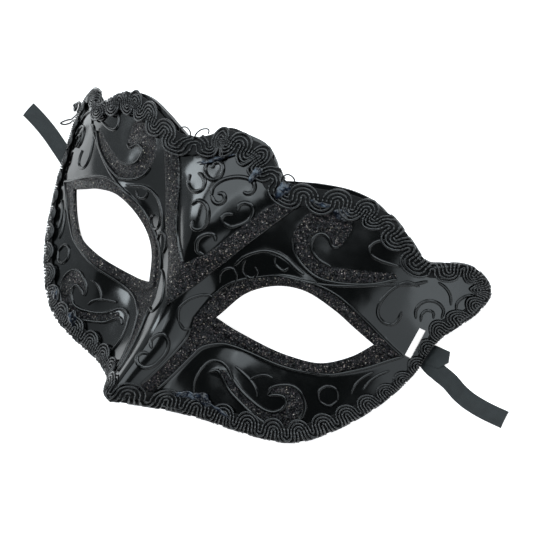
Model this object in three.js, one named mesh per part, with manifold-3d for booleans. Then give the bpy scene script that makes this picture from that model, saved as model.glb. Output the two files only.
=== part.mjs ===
// A black half mask of the masquerade kind: a moulded plastic shell with raised scrollwork,
// a gimp braid glued round its edge and two flat ribbons fixed behind the temples.
// It lies face up. +X is the wearer's left, +Y the crown end and +Z up. Millimetres.
import * as THREE from 'three';
import { mergeVertices } from 'three/addons/utils/BufferGeometryUtils.js';
import Module from 'manifold-3d';

const wasm = await Module();
wasm.setup();

// Sizes of the shell. Heights are counted from the bridge of the nose, where the V bands meet.
const HALF_WIDTH = 90.5;
const CROWN_RISE = 63.6;
const NOSE_DROP = 32.6;
const FACE_DEPTH = 54;
const WALL = 1.6;

// Sizes of the eye holes.
const EYE_WIDTH = 52.8;
const EYE_HEIGHT = 23.6;
const EYE_INSET = 15.2;
const EYE_LIFT = 2.2;
const EYE_RIM = 3.2;
const EYE_RIM_RAISE = 0.6;

// Sizes of the raised work.
const BAND_WIDTH = 7;
const BAND_RAISE = 0.9;
const SCROLL_WIDTH = 1.5;
const SCROLL_RAISE = 0.8;
const ROOT = 0.6;

// Sizes of the ribbon slots.
const SLOT_LENGTH = 10.6;
const SLOT_WIDTH = 2.3;
const SLOT_TILT = 7;

// Sizes of the braid and of the gap that glue fills under it.
const BRAID_WIDTH = 9;
const BRAID_THICK = 2.2;
const BRAID_WAVE = 0.5;
const BRAID_PITCH = 9;
const SEAT_GAP = 0.45;

// Sizes of the ribbons.
const RIBBON_WIDTH = 6;
const RIBBON_THICK = 0.8;

// How finely the shell is divided: steps round an eye hole and rings from the eye to the edge.
const AROUND = 64;
const RINGS = 5;

// The outer edge of one half, from the crown to the foot of the nose.
// across and up are shares of the half width and of the rise or drop; braid is the width of the
// braid there as a share of its full width, and inset how far it lies in from the edge, in shares of that width.
const EDGE = [
  { at: 'crown', across: 0, up: 1, braid: 1, inset: -0.1 },
  { at: 'crown shoulder', across: 0.09, up: 0.99, braid: 0.95, inset: -0.1 },
  { at: 'crown corner', across: 0.15, up: 0.936, braid: 0.95, inset: -0.1 },
  { at: 'crown valley', across: 0.213, up: 0.862, braid: 0.95, inset: -0.1 },
  { at: 'brow start', across: 0.276, up: 0.882, braid: 1, inset: 0.05 },
  { at: 'brow', across: 0.38, up: 0.928, braid: 0.95, inset: 0.16 },
  { at: 'brow top', across: 0.497, up: 0.959, braid: 0.95, inset: 0.12 },
  { at: 'brow fall', across: 0.595, up: 0.943, braid: 0.95, inset: 0.04 },
  { at: 'brow end', across: 0.683, up: 0.868, braid: 0.85, inset: -0.06 },
  { at: 'wing notch', across: 0.81, up: 0.738, braid: 0.7, inset: -0.1 },
  { at: 'wing back', across: 0.876, up: 0.78, braid: 0.65, inset: -0.1 },
  { at: 'wing shoulder', across: 0.94, up: 0.797, braid: 0.6, inset: -0.1 },
  { at: 'wing tip', across: 1, up: 0.725, braid: 0.52, inset: -0.1 },
  { at: 'wing under', across: 0.995, up: 0.61, braid: 0.52, inset: -0.1 },
  { at: 'wing root', across: 0.924, up: 0.385, braid: 0.42, inset: -0.1 },
  { at: 'temple', across: 0.898, up: 0.19, braid: 0.42, inset: -0.1 },
  { at: 'cheek side', across: 0.83, up: -0.086, braid: 0.6, inset: -0.1 },
  { at: 'cheek turn', across: 0.728, up: -0.485, braid: 0.75, inset: -0.1 },
  { at: 'cheek low', across: 0.61, up: -0.767, braid: 0.85, inset: -0.1 },
  { at: 'cheek foot', across: 0.42, up: -0.896, braid: 0.85, inset: -0.1 },
  { at: 'nose side', across: 0.24, up: -0.945, braid: 0.8, inset: -0.1 },
  { at: 'nose foot', across: 0.09, up: -0.975, braid: 0.72, inset: -0.1 },
  { at: 'nose low', across: 0, up: -1, braid: 0.7, inset: -0.1 },
];

// The edge of an eye hole from its inner corner over the top to its outer corner and back below.
// along is a share of the eye's width and up a share of its height.
const UPPER_LID = [
  { along: 0, up: 0.03 },
  { along: 0.117, up: 0.515 },
  { along: 0.305, up: 0.82 },
  { along: 0.515, up: 0.945 },
  { along: 0.731, up: 0.855 },
  { along: 0.86, up: 0.74 },
  { along: 1, up: 0.615 },
];
const LOWER_LID = [
  { along: 1, up: 0.615 },
  { along: 0.898, up: 0.325 },
  { along: 0.746, up: 0.07 },
  { along: 0.555, up: -0.02 },
  { along: 0.32, up: -0.055 },
  { along: 0.12, up: -0.03 },
  { along: 0, up: 0.03 },
];

// How far the face stands out, as shares of its depth, on sections that run across it.
// up is a share of the rise or drop; the columns stand at the shares of the half width below.
const COLUMNS = { ridge: 0, flank: 0.133, inner: 0.287, middle: 0.508, outer: 0.773, wing: 1.05 };
const SECTIONS = [
  { at: 'below the nose', up: -1.53, ridge: 0.481, flank: 0.131, inner: -0.096, middle: -0.196, outer: -0.37, wing: -0.624 },
  { at: 'nostrils', up: -0.914, ridge: 0.294, flank: 0.054, inner: -0.098, middle: -0.18, outer: -0.341, wing: -0.591 },
  { at: 'under the eyes', up: -0.331, ridge: 0.1, flank: -0.031, inner: -0.126, middle: -0.178, outer: -0.333, wing: -0.587 },
  { at: 'eyes', up: 0.129, ridge: 0.065, flank: -0.041, inner: -0.163, middle: -0.187, outer: -0.356, wing: -0.609 },
  { at: 'brows', up: 0.443, ridge: 0.072, flank: 0.02, inner: -0.059, middle: -0.135, outer: -0.326, wing: -0.661 },
  { at: 'crown', up: 0.852, ridge: -0.015, flank: -0.052, inner: -0.048, middle: -0.159, outer: -0.343, wing: -0.748 },
];

// Raised lines that curl round a centre. across and up place the centre, start and end are the radii as
// shares of the half width, from and to are angles in degrees, and wide and thin are the line's width at
// its start and end in widths of a scroll line. pair says whether the other half has its mirror image.
const CURLS = [
  { name: 'brow comma', across: 0.481, up: 0.645, start: 0.1, end: 0.036, from: -86, to: -350, wide: 3.6, thin: 3.4, pair: true },
  { name: 'cheek ball', across: 0.52, up: -0.46, start: 0.098, end: 0.068, from: -105, to: 150, wide: 2.6, thin: 2, pair: true },
  { name: 'cheek loop', across: 0.235, up: -0.66, start: 0.05, end: 0.058, from: 200, to: 30, wide: 0.9, thin: 1.6, pair: true },
  { name: 'cheek ring', across: 0.672, up: -0.2, start: 0.036, end: 0.036, from: 0, to: 360, wide: 0.9, thin: 0.9, pair: true },
  { name: 'lid arch', across: 0.334, up: 0.248, start: 0.17, end: 0.173, from: 159, to: 52, wide: 0.9, thin: 0.9, pair: true },
  { name: 'temple hook', across: 0.678, up: 0.731, start: 0.041, end: 0.06, from: 84, to: 325, wide: 0.9, thin: 0.9, pair: true },
  { name: 'wing loop', across: 0.8, up: 0.47, start: 0.1, end: 0.035, from: 80, to: 290, wide: 0.9, thin: 0.9, pair: true },
  { name: 'wing curl', across: 0.876, up: 0.514, start: 0.046, end: 0.039, from: 233, to: -6, wide: 0.8, thin: 0.8, pair: true },
  { name: 'corner arch', across: 0.136, up: -0.002, start: 0.089, end: 0.093, from: 210, to: 92, wide: 0.9, thin: 0.9, pair: true },
  { name: 'crown hook', across: -0.097, up: 0.659, start: 0.047, end: 0.034, from: 161, to: 463, wide: 0.9, thin: 0.9, pair: false },
  { name: 'crown drop', across: -0.048, up: 0.756, start: 0.046, end: 0.026, from: 155, to: 480, wide: 0.9, thin: 0.9, pair: false },
  { name: 'crown crook', across: 0.09, up: 0.7, start: 0.106, end: 0.033, from: 213, to: 15, wide: 0.9, thin: 0.9, pair: false },
  { name: 'crown crescent', across: -0.01, up: 0.502, start: 0.062, end: 0.034, from: 156, to: -117, wide: 0.9, thin: 0.9, pair: false },
  { name: 'crown wave', across: 0.131, up: 0.615, start: 0.024, end: 0.057, from: 157, to: -105, wide: 0.9, thin: 0.9, pair: false },
  { name: 'crown foot', across: 0.066, up: 0.384, start: 0.04, end: 0.043, from: 51, to: 267, wide: 0.9, thin: 0.9, pair: false },
  { name: 'nose curl', across: 0.035, up: -0.43, start: 0.028, end: 0.058, from: 193, to: -60, wide: 0.9, thin: 0.9, pair: false },
];

// Raised lines that run from one point to another, bowed to their left by a share of their length.
const STROKES = [
  { name: 'comma tail', across: 0.484, up: 0.505, to_across: 0.742, to_up: 0.64, bow: -0.08, wide: 3.6, thin: 0.9, pair: true },
  { name: 'cheek stem', across: 0.285, up: -0.52, to_across: 0.505, to_up: -0.76, bow: -0.05, wide: 1.6, thin: 2.6, pair: true },
  { name: 'under line', across: 0.44, up: 0.415, to_across: 0.83, to_up: 0.66, bow: -0.06, wide: 0.9, thin: 0.9, pair: true },
  { name: 'cheek fork', across: 0.3, up: -0.34, to_across: 0.43, to_up: -0.52, bow: 0.12, wide: 0.8, thin: 0.8, pair: true },
];

// The band of the V on each side of the crown, from the bridge of the nose to the crown valley.
const BAND = { across: 0.012, up: 0.09, to_across: 0.287, to_up: 0.757, wide: 1.14, thin: 0.82 };

// The chosen points of the two ribbons, from the glued end behind the temple to the free end on the table,
// in millimetres from the table's origin: middle of the ribbon across, ahead and up.
const RIBBON_LEFT = [
  [79.9, 14.2, 2], [81.2, 13.2, 0.85], [82.6, 12.3, 0.4], [86, 10.9, 0.4], [90, 10.1, 0.4], [94.5, 9.2, 0.4],
  [99, 7.6, 0.4], [104, 6.5, 0.4], [111, 6.1, 0.4], [118.6, 6.4, 0.4],
];
const RIBBON_RIGHT = [
  [-77, 13.8, 2.4], [-79, 14.6, 1.7], [-80.8, 15.3, 0.8], [-82.8, 16.2, 0.4], [-88, 18.6, 0.4], [-95.5, 21.9, 0.4],
  [-101, 24, 0.4], [-106, 25.6, 0.4], [-111.2, 27, 0.4],
];

// The mask came out of the mould a little uneven. Each row is a place that has moved, how far round it that
// reaches, and its move, all in shares of the half width but for the height of the place.
const UNEVEN = [
  { at: 'crown', across: 0.04, up: 1, reach: 0.22, aside: 0.02, rise: 0.0045 },
  { at: 'crown foot on the right', across: -0.18, up: 0.9, reach: 0.1, aside: 0.009, rise: -0.01 },
  { at: 'right brow', across: -0.52, up: 0.94, reach: 0.26, aside: 0, rise: -0.018 },
  { at: 'nose foot', across: 0, up: -1.04, reach: 0.165, aside: 0, rise: -0.024 },
  { at: 'left wing', across: 0.97, up: 0.7, reach: 0.18, aside: 0.01, rise: 0.0055 },
  { at: 'left notch', across: 0.76, up: 0.82, reach: 0.1, aside: 0.008, rise: 0.009 },
];

const height = (share) => share * (share > 0 ? CROWN_RISE : NOSE_DROP);
const across = (share) => share * HALF_WIDTH;
const rad = THREE.MathUtils.degToRad;

// The share of each of four neighbouring rows in a smooth curve between the two middle ones.
function weights(stations, at) {
  let i = 0;
  while (i < stations.length - 2 && at > stations[i + 1]) i += 1;
  const step = stations[i + 1] - stations[i];
  const t = THREE.MathUtils.clamp((at - stations[i]) / step, -0.6, 1.6);
  const w = new Array(stations.length).fill(0);
  w[i] += 2 * t ** 3 - 3 * t ** 2 + 1;
  w[i + 1] += -2 * t ** 3 + 3 * t ** 2;
  for (const [k, h] of [[i, t ** 3 - 2 * t ** 2 + t], [i + 1, t ** 3 - t ** 2]]) {
    const lo = Math.max(k - 1, 0);
    const hi = Math.min(k + 1, stations.length - 1);
    const slope = (h * step) / (stations[hi] - stations[lo]);
    w[hi] += slope;
    w[lo] -= slope;
  }
  return w;
}

const NAMES = Object.keys(COLUMNS);
const COLUMN_AT = [...NAMES.slice(1).reverse().map((n) => -across(COLUMNS[n])), ...NAMES.map((n) => across(COLUMNS[n]))];
const ROW_AT = SECTIONS.map((row) => height(row.up));
const TABLE = SECTIONS.map((row) => {
  const half = NAMES.map((n) => row[n] * FACE_DEPTH);
  return [...half.slice(1).reverse(), ...half];
});

// The depth of the face and its outward direction over a point of the front view.
function depth(x, y) {
  const wx = weights(COLUMN_AT, x);
  const wy = weights(ROW_AT, y);
  let sum = 0;
  for (let i = 0; i < wy.length; i += 1) {
    if (wy[i] === 0) continue;
    for (let j = 0; j < wx.length; j += 1) sum += wy[i] * wx[j] * TABLE[i][j];
  }
  return sum;
}
function outward(x, y) {
  const e = 0.4;
  const dx = (depth(x + e, y) - depth(x - e, y)) / (2 * e);
  const dy = (depth(x, y + e) - depth(x, y - e)) / (2 * e);
  return new THREE.Vector3(-dx, -dy, 1).normalize();
}
function onFace(x, y, lift) {
  return new THREE.Vector3(x, y, depth(x, y)).addScaledVector(outward(x, y), lift);
}

// A smooth open curve through points of the front view, read at a share of its length.
function through(points) {
  return new THREE.CatmullRomCurve3(points.map(([x, y]) => new THREE.Vector3(x, y, 0)), false, 'centripetal');
}

const edgeCurve = through(EDGE.map((row) => [across(row.across), height(row.up)]));
edgeCurve.arcLengthDivisions = 800;
// The share of the edge's length at which each row of the edge stands, and any column read between rows.
const EDGE_SHARE = EDGE.map((row, i) => {
  const lengths = edgeCurve.getLengths();
  return lengths[Math.round((i / (EDGE.length - 1)) * 800)] / lengths[800];
});
function edgeColumn(name, share) {
  const w = weights(EDGE_SHARE, share);
  return EDGE.reduce((sum, row, i) => sum + w[i] * row[name], 0);
}
const shareOf = (at) => EDGE_SHARE[EDGE.findIndex((row) => row.at === at)];

const eyePoint = (row) => [EYE_INSET + row.along * EYE_WIDTH, EYE_LIFT + (row.up - UPPER_LID[0].up) * EYE_HEIGHT];
const upperLid = through(UPPER_LID.map(eyePoint));
const lowerLid = through(LOWER_LID.map(eyePoint));

// The loop round the eye hole and the loop round the half face, at the same share of a turn.
// Both start at the inner corner of the eye and go over the top.
const MARKS = [
  { turn: 0, lid: 0, line: 'middle', stop: 0.02 },
  { turn: 0.16, lid: 0.4, line: 'middle', stop: 1 },
  { turn: 0.22, lid: 0.56, line: 'edge', stop: 'crown valley' },
  { turn: 0.33, lid: 0.86, line: 'edge', stop: 'brow fall' },
  { turn: 0.4, lid: 1, line: 'edge', stop: 'wing notch' },
  { turn: 0.51, lid: 1.06, line: 'edge', stop: 'wing root' },
  { turn: 0.61, lid: 1.32, line: 'edge', stop: 'cheek turn' },
  { turn: 0.7, lid: 1.58, line: 'edge', stop: 'cheek foot' },
  { turn: 0.76, lid: 1.72, line: 'edge', stop: 'nose side' },
  { turn: 0.86, lid: 1.88, line: 'edge', stop: 'nose foot' },
  { turn: 0.9, lid: 1.92, line: 'edge', stop: 'nose low' },
  { turn: 1, lid: 2, line: 'middle', stop: 0.02 },
];
function bounds(turn) {
  const i = Math.max(1, MARKS.findIndex((m) => m.turn >= turn - 1e-9));
  const a = MARKS[i - 1];
  const b = MARKS[i];
  const t = (turn - a.turn) / (b.turn - a.turn);
  const lid = a.lid + (b.lid - a.lid) * t;
  const eye = lid <= 1 ? upperLid.getPointAt(lid) : lowerLid.getPointAt(Math.min(1, lid - 1));
  let outer;
  if (b.line === 'middle') {
    const from = a.line === 'middle' ? height(a.stop) : -NOSE_DROP;
    outer = new THREE.Vector3(0, from + (height(b.stop) - from) * t, 0);
  } else {
    const from = a.line === 'middle' ? 0 : shareOf(a.stop);
    const share = from + (shareOf(b.stop) - from) * t;
    outer = edgeCurve.getPointAt(THREE.MathUtils.clamp(share, 0, 1));
    if (share < 1e-6 || share > 1 - 1e-6) outer.x = 0;
  }
  const middle = Math.abs(outer.x) < 1e-6;
  return { eye, outer, middle };
}

function toMesh(name, positions, index, material) {
  const geometry = new THREE.BufferGeometry();
  geometry.setAttribute('position', new THREE.BufferAttribute(new Float32Array(positions), 3));
  geometry.setIndex(index);
  geometry.computeVertexNormals();
  const mesh = new THREE.Mesh(geometry, material);
  mesh.name = name;
  return mesh;
}
function toSolid(positions, index) {
  let geometry = new THREE.BufferGeometry();
  geometry.setAttribute('position', new THREE.BufferAttribute(new Float32Array(positions), 3));
  geometry.setIndex(index);
  geometry = mergeVertices(geometry, 1e-4);
  const tri = [];
  const idx = geometry.index.array;
  for (let i = 0; i < idx.length; i += 3) {
    if (idx[i] !== idx[i + 1] && idx[i + 1] !== idx[i + 2] && idx[i + 2] !== idx[i]) tri.push(idx[i], idx[i + 1], idx[i + 2]);
  }
  return new wasm.Manifold(new wasm.Mesh({
    numProp: 3,
    vertProperties: geometry.attributes.position.array,
    triVerts: new Uint32Array(tri),
  }));
}
function fromSolid(name, solid, material) {
  const mesh = solid.getMesh();
  const points = [];
  for (let i = 0; i < mesh.numVert; i += 1) points.push(...mesh.vertProperties.slice(i * mesh.numProp, i * mesh.numProp + 3));
  return toMesh(name, points, [...mesh.triVerts], material);
}

// The plain shell: each half is a ring of quads from its eye hole to its edge, with a raised rim round the eye.
function plainShell() {
  const positions = [];
  const index = [];
  const quad = (a, b, c, d, flip) => (flip ? index.push(a, c, b, a, d, c) : index.push(a, b, c, a, c, d));
  for (const side of [1, -1]) {
    const rows = [];
    for (let k = 0; k < AROUND; k += 1) {
      const { eye, outer, middle } = bounds(k / AROUND);
      const reach = outer.clone().sub(eye);
      const span = reach.length();
      const marks = [[0, EYE_RIM_RAISE], [EYE_RIM / span, EYE_RIM_RAISE], [(EYE_RIM + EYE_RIM_RAISE) / span, 0]];
      const start = marks[2][0];
      for (let r = 1; r <= RINGS; r += 1) marks.push([start + ((1 - start) * r) / RINGS, 0]);
      rows.push({ middle, ring: marks.map(([s, lift]) => {
        const x = (eye.x + reach.x * s) * side;
        const y = eye.y + reach.y * s;
        const flat = s > 0.999 && middle ? 0 : x;
        const front = onFace(flat, y, lift);
        const back = onFace(flat, y, -WALL);
        if (flat === 0) {
          front.x = 0;
          back.x = 0;
        }
        positions.push(front.x, front.y, front.z, back.x, back.y, back.z);
        return positions.length / 3 - 2;
      }) });
    }
    for (let k = 0; k < AROUND; k += 1) {
      const a = rows[k];
      const b = rows[(k + 1) % AROUND];
      const last = a.ring.length - 1;
      const flip = side < 0;
      for (let r = 0; r < last; r += 1) {
        quad(a.ring[r], b.ring[r], b.ring[r + 1], a.ring[r + 1], flip);
        quad(a.ring[r] + 1, a.ring[r + 1] + 1, b.ring[r + 1] + 1, b.ring[r] + 1, flip);
      }
      quad(a.ring[0], a.ring[0] + 1, b.ring[0] + 1, b.ring[0], flip);
      if (!(a.middle && b.middle)) quad(a.ring[last], b.ring[last], b.ring[last] + 1, a.ring[last] + 1, flip);
    }
  }
  return toSolid(positions, index);
}

// A raised line on the face: a bar of trapezoid section that follows the curve with its foot in the wall.
function raised(points, widths, lift) {
  const positions = [];
  const index = [];
  points.forEach(([x, y], i) => {
    const before = points[Math.max(i - 1, 0)];
    const after = points[Math.min(i + 1, points.length - 1)];
    const along = new THREE.Vector2(after[0] - before[0], after[1] - before[1]).normalize();
    for (const [side, level, share] of [[1, -ROOT, 1], [-1, -ROOT, 1], [-1, lift, 0.7], [1, lift, 0.7]]) {
      const reach = (side * share * widths[i]) / 2;
      const p = onFace(x - along.y * reach, y + along.x * reach, level);
      positions.push(p.x, p.y, p.z);
    }
  });
  for (let i = 0; i < points.length - 1; i += 1) {
    for (let k = 0; k < 4; k += 1) {
      const a = i * 4 + k;
      const b = i * 4 + ((k + 1) % 4);
      index.push(a, a + 4, b, b, a + 4, b + 4);
    }
  }
  const end = (points.length - 1) * 4;
  index.push(0, 1, 2, 0, 2, 3, end, end + 2, end + 1, end, end + 3, end + 2);
  const solid = toSolid(positions, index);
  return solid.volume() < 0 ? toSolid(positions, index.slice().reverse()) : solid;
}

function curlPoints(row) {
  const steps = Math.max(4, Math.round(Math.abs(row.to - row.from) / 32));
  const points = [];
  for (let i = 0; i <= steps; i += 1) {
    const t = i / steps;
    const a = rad(row.from + (row.to - row.from) * t);
    const r = across(row.start + (row.end - row.start) * t);
    points.push([across(row.across) + r * Math.cos(a), height(row.up) + r * Math.sin(a)]);
  }
  return points;
}
function strokePoints(row, steps) {
  const a = new THREE.Vector2(across(row.across), height(row.up));
  const b = new THREE.Vector2(across(row.to_across), height(row.to_up));
  const points = [];
  for (let i = 0; i <= steps; i += 1) {
    const t = i / steps;
    const bow = 4 * (row.bow || 0) * t * (1 - t) * a.distanceTo(b);
    const d = b.clone().sub(a).normalize();
    points.push([a.x + (b.x - a.x) * t - d.y * bow, a.y + (b.y - a.y) * t + d.x * bow]);
  }
  return points;
}
const taper = (row, n, width) => Array.from({ length: n }, (_, i) => (row.wide + ((row.thin - row.wide) * i) / (n - 1)) * width);
const mirrored = (points) => points.map(([x, y]) => [-x, y]);

function relief() {
  const solids = [];
  const add = (points, row, width, lift) => {
    const widths = taper(row, points.length, width);
    solids.push(raised(points, widths, lift));
    if (row.pair !== false) solids.push(raised(mirrored(points), widths, lift));
  };
  add(strokePoints(BAND, 6), BAND, BAND_WIDTH, BAND_RAISE);
  for (const row of CURLS) add(curlPoints(row), row, SCROLL_WIDTH, SCROLL_RAISE);
  for (const row of STROKES) add(strokePoints(row, 5), row, SCROLL_WIDTH, SCROLL_RAISE);
  return solids;
}

// The slot for a ribbon, beside the edge at the temple, as the bar that is cut out of the wall.
const SLOT_AT = shareOf('wing root') * 0.75 + shareOf('temple') * 0.25;
function slotCutter(side) {
  const edge = edgeCurve.getPointAt(SLOT_AT);
  const bar = BRAID_WIDTH * (edgeColumn('braid', SLOT_AT) + edgeColumn('inset', SLOT_AT));
  const x = (edge.x - bar - SLOT_WIDTH / 2) * side;
  const normal = outward(x, edge.y);
  const box = new THREE.BoxGeometry(SLOT_WIDTH, SLOT_LENGTH, WALL * 8).toNonIndexed();
  box.deleteAttribute('normal');
  box.deleteAttribute('uv');
  const lengthwise = new THREE.Vector3(Math.sin(rad(SLOT_TILT)) * side, Math.cos(rad(SLOT_TILT)), 0);
  const crosswise = new THREE.Vector3().crossVectors(lengthwise, normal).normalize();
  const exact = new THREE.Vector3().crossVectors(normal, crosswise);
  const turn = new THREE.Matrix4().makeBasis(crosswise, exact, normal);
  turn.setPosition(x, edge.y, depth(x, edge.y));
  box.applyMatrix4(turn);
  const merged = mergeVertices(box, 1e-4);
  return toSolid(merged.attributes.position.array, [...merged.index.array]);
}

// A band that follows the whole rim on the front of the shell, with a wavy edge, between two levels over it.
// spare is how far it is widened on both sides.
function band(low, high, spare) {
  const half = [];
  const waves = Math.round(edgeCurve.getLength() / BRAID_PITCH);
  const steps = waves * 4;
  for (let i = 0; i <= steps; i += 1) {
    const share = i / steps;
    const p = edgeCurve.getPointAt(share);
    const slope = new THREE.Vector2();
    for (const d of [-0.012, -0.006, 0, 0.006, 0.012]) {
      const t = edgeCurve.getTangentAt(THREE.MathUtils.clamp(share + d, 0, 1));
      slope.add(new THREE.Vector2(t.x, t.y));
    }
    slope.normalize();
    if (i === 0 || i === steps) slope.set(i === 0 ? 1 : -1, 0);
    const width = BRAID_WIDTH * edgeColumn('braid', share);
    const inset = BRAID_WIDTH * edgeColumn('inset', share);
    const wave = BRAID_WAVE * Math.cos((Math.PI * i) / 2);
    half.push({ p, inward: new THREE.Vector2(slope.y, -slope.x), from: inset + wave - spare, to: inset + width + wave + spare });
  }
  const left = half.slice(1, -1).reverse().map((s) => ({
    ...s,
    p: new THREE.Vector3(-s.p.x, s.p.y, 0),
    inward: new THREE.Vector2(-s.inward.x, s.inward.y),
  }));
  const loop = [...half, ...left];
  const positions = [];
  const index = [];
  const SECTION = [[0, low], [0.12, high], [0.88, high], [1, low], [0.5, low]];
  for (const { p, inward, from, to } of loop) {
    for (const [s, level] of SECTION) {
      const a = from + (to - from) * s;
      const q = onFace(p.x + inward.x * a, p.y + inward.y * a, level);
      positions.push(q.x, q.y, q.z);
    }
  }
  const n = SECTION.length;
  for (let i = 0; i < loop.length; i += 1) {
    const j = (i + 1) % loop.length;
    for (let k = 0; k < n; k += 1) {
      const l = (k + 1) % n;
      index.push(i * n + k, i * n + l, j * n + k, j * n + k, i * n + l, j * n + l);
    }
  }
  return { positions, index };
}


// A ribbon: a flat strip whose width stays level while it follows its chosen points.
function ribbon(name, points, material) {
  const route = new THREE.CatmullRomCurve3(points.map(([x, y, z]) => new THREE.Vector3(x, y, z)), false, 'centripetal');
  const steps = Math.round(route.getLength() / 2);
  const positions = [];
  const index = [];
  for (let i = 0; i <= steps; i += 1) {
    const p = route.getPointAt(i / steps);
    const t = route.getTangentAt(i / steps);
    const side = new THREE.Vector2(-t.y, t.x).normalize().multiplyScalar(RIBBON_WIDTH / 2);
    const low = Math.max(0, p.z - RIBBON_THICK / 2);
    for (const [s, level] of [[1, low], [-1, low], [-1, low + RIBBON_THICK], [1, low + RIBBON_THICK]]) {
      positions.push(p.x + s * side.x, p.y + s * side.y, level);
    }
  }
  for (let i = 0; i < steps; i += 1) {
    for (let k = 0; k < 4; k += 1) {
      const a = i * 4 + k;
      const b = i * 4 + ((k + 1) % 4);
      index.push(a, a + 4, b, b, a + 4, b + 4);
    }
  }
  const end = steps * 4;
  index.push(0, 1, 2, 0, 2, 3, end, end + 2, end + 1, end, end + 3, end + 2);
  return toMesh(name, positions, index, material);
}

const plastic = new THREE.MeshStandardMaterial({ color: 0x0b0c0d, roughness: 0.18, metalness: 0 });
const cordage = new THREE.MeshStandardMaterial({ color: 0x0d0d0e, roughness: 0.55, metalness: 0 });
const satin = new THREE.MeshStandardMaterial({ color: 0x2a2b2c, roughness: 0.7, metalness: 0 });

// The raised work stops where the braid covers it.
const seat = band(0, SEAT_GAP + BRAID_THICK * 2, SEAT_GAP);
const covered = toSolid(seat.positions, seat.index);
let shell = plainShell();
for (const bar of relief()) shell = shell.add(bar.subtract(covered));
for (const side of [1, -1]) shell = shell.subtract(slotCutter(side));

const strip = band(SEAT_GAP, SEAT_GAP + BRAID_THICK, 0);
const shellMesh = fromSolid('mask_shell', shell, plastic);
const braidMesh = toMesh('edge_braid', strip.positions, strip.index, cordage);

// The unevenness moves the shell and its braid together, across and up only.
for (const mesh of [shellMesh, braidMesh]) {
  const at = mesh.geometry.attributes.position;
  for (let i = 0; i < at.count; i += 1) {
    let x = at.getX(i);
    let y = at.getY(i);
    for (const row of UNEVEN) {
      const away = Math.hypot(at.getX(i) - across(row.across), at.getY(i) - height(row.up)) / across(row.reach);
      x += across(row.aside) * Math.exp(-(away ** 2));
      y += across(row.rise) * Math.exp(-(away ** 2));
    }
    at.setXY(i, x, y);
  }
  mesh.geometry.computeVertexNormals();
}

// Face up, the mask stands on its two wing tips and on the rim under its cheeks:
// the pitch about X at which the lowest point at the crown end is level with the lowest at the nose end.
const corners = [shellMesh, braidMesh].flatMap((mesh) => {
  const at = mesh.geometry.attributes.position;
  return Array.from({ length: at.count }, (_, i) => new THREE.Vector3().fromBufferAttribute(at, i));
});
const crownEnd = corners.filter((p) => p.y > CROWN_RISE / 3);
const noseEnd = corners.filter((p) => p.y <= CROWN_RISE / 3);
const lowest = (points, pitch) => points.reduce((low, p) => Math.min(low, p.y * Math.sin(pitch) + p.z * Math.cos(pitch)), Infinity);
let pitch = 0;
let steeper = 1;
for (let i = 0; i < 50; i += 1) {
  const middle = (pitch + steeper) / 2;
  if (lowest(noseEnd, middle) > lowest(crownEnd, middle)) pitch = middle;
  else steeper = middle;
}
const ahead = corners.map((p) => p.y * Math.cos(pitch) - p.z * Math.sin(pitch));
const mask = new THREE.Group();
mask.add(shellMesh, braidMesh);
mask.rotation.x = pitch;
mask.position.y = -(ahead.reduce((a, b) => Math.max(a, b)) + ahead.reduce((a, b) => Math.min(a, b))) / 2;
mask.position.z = -Math.min(lowest(noseEnd, pitch), lowest(crownEnd, pitch));
mask.updateMatrixWorld(true);

const group = new THREE.Group();
group.add(mask, ribbon('ribbon_left', RIBBON_LEFT, satin), ribbon('ribbon_right', RIBBON_RIGHT, satin));
export default group;
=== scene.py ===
import math

import bpy
import numpy as np
from mathutils import Matrix, Vector


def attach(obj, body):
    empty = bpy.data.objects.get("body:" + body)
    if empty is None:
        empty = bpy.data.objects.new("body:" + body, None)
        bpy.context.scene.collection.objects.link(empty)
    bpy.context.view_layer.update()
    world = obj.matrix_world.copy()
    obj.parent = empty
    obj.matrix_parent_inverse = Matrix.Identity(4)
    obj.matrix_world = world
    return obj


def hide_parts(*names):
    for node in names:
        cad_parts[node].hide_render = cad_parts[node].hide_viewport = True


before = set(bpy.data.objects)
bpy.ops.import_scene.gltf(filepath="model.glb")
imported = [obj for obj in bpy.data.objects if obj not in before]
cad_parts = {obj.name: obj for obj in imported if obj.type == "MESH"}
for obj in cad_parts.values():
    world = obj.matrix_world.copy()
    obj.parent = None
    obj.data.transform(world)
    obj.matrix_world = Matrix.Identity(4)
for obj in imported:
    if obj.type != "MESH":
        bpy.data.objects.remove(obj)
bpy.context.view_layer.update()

# THE SHELL
# One sheet of glossy black polystyrene, moulded to 1.6 mm, with the eye holes and the two slots
# for the ribbons cut through. Its depth comes from sections across the face, as the mould's does,
# and every ring of its mesh runs round an eye hole and widens into the rim.
HALF_WIDTH = 90.5
CROWN_RISE = 63.6
NOSE_DROP = 32.6
FACE_DEPTH = 54.0
WALL = 1.6
# A millimetre, in the scene's metres.
MM = 0.001
# How far the crown is tipped up from the table, in radians, and where the mask's own frame then
# stands, back and up.
LEAN = 0.281925304
SET_BACK = -12.38427
STAND = 22.632192

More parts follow.
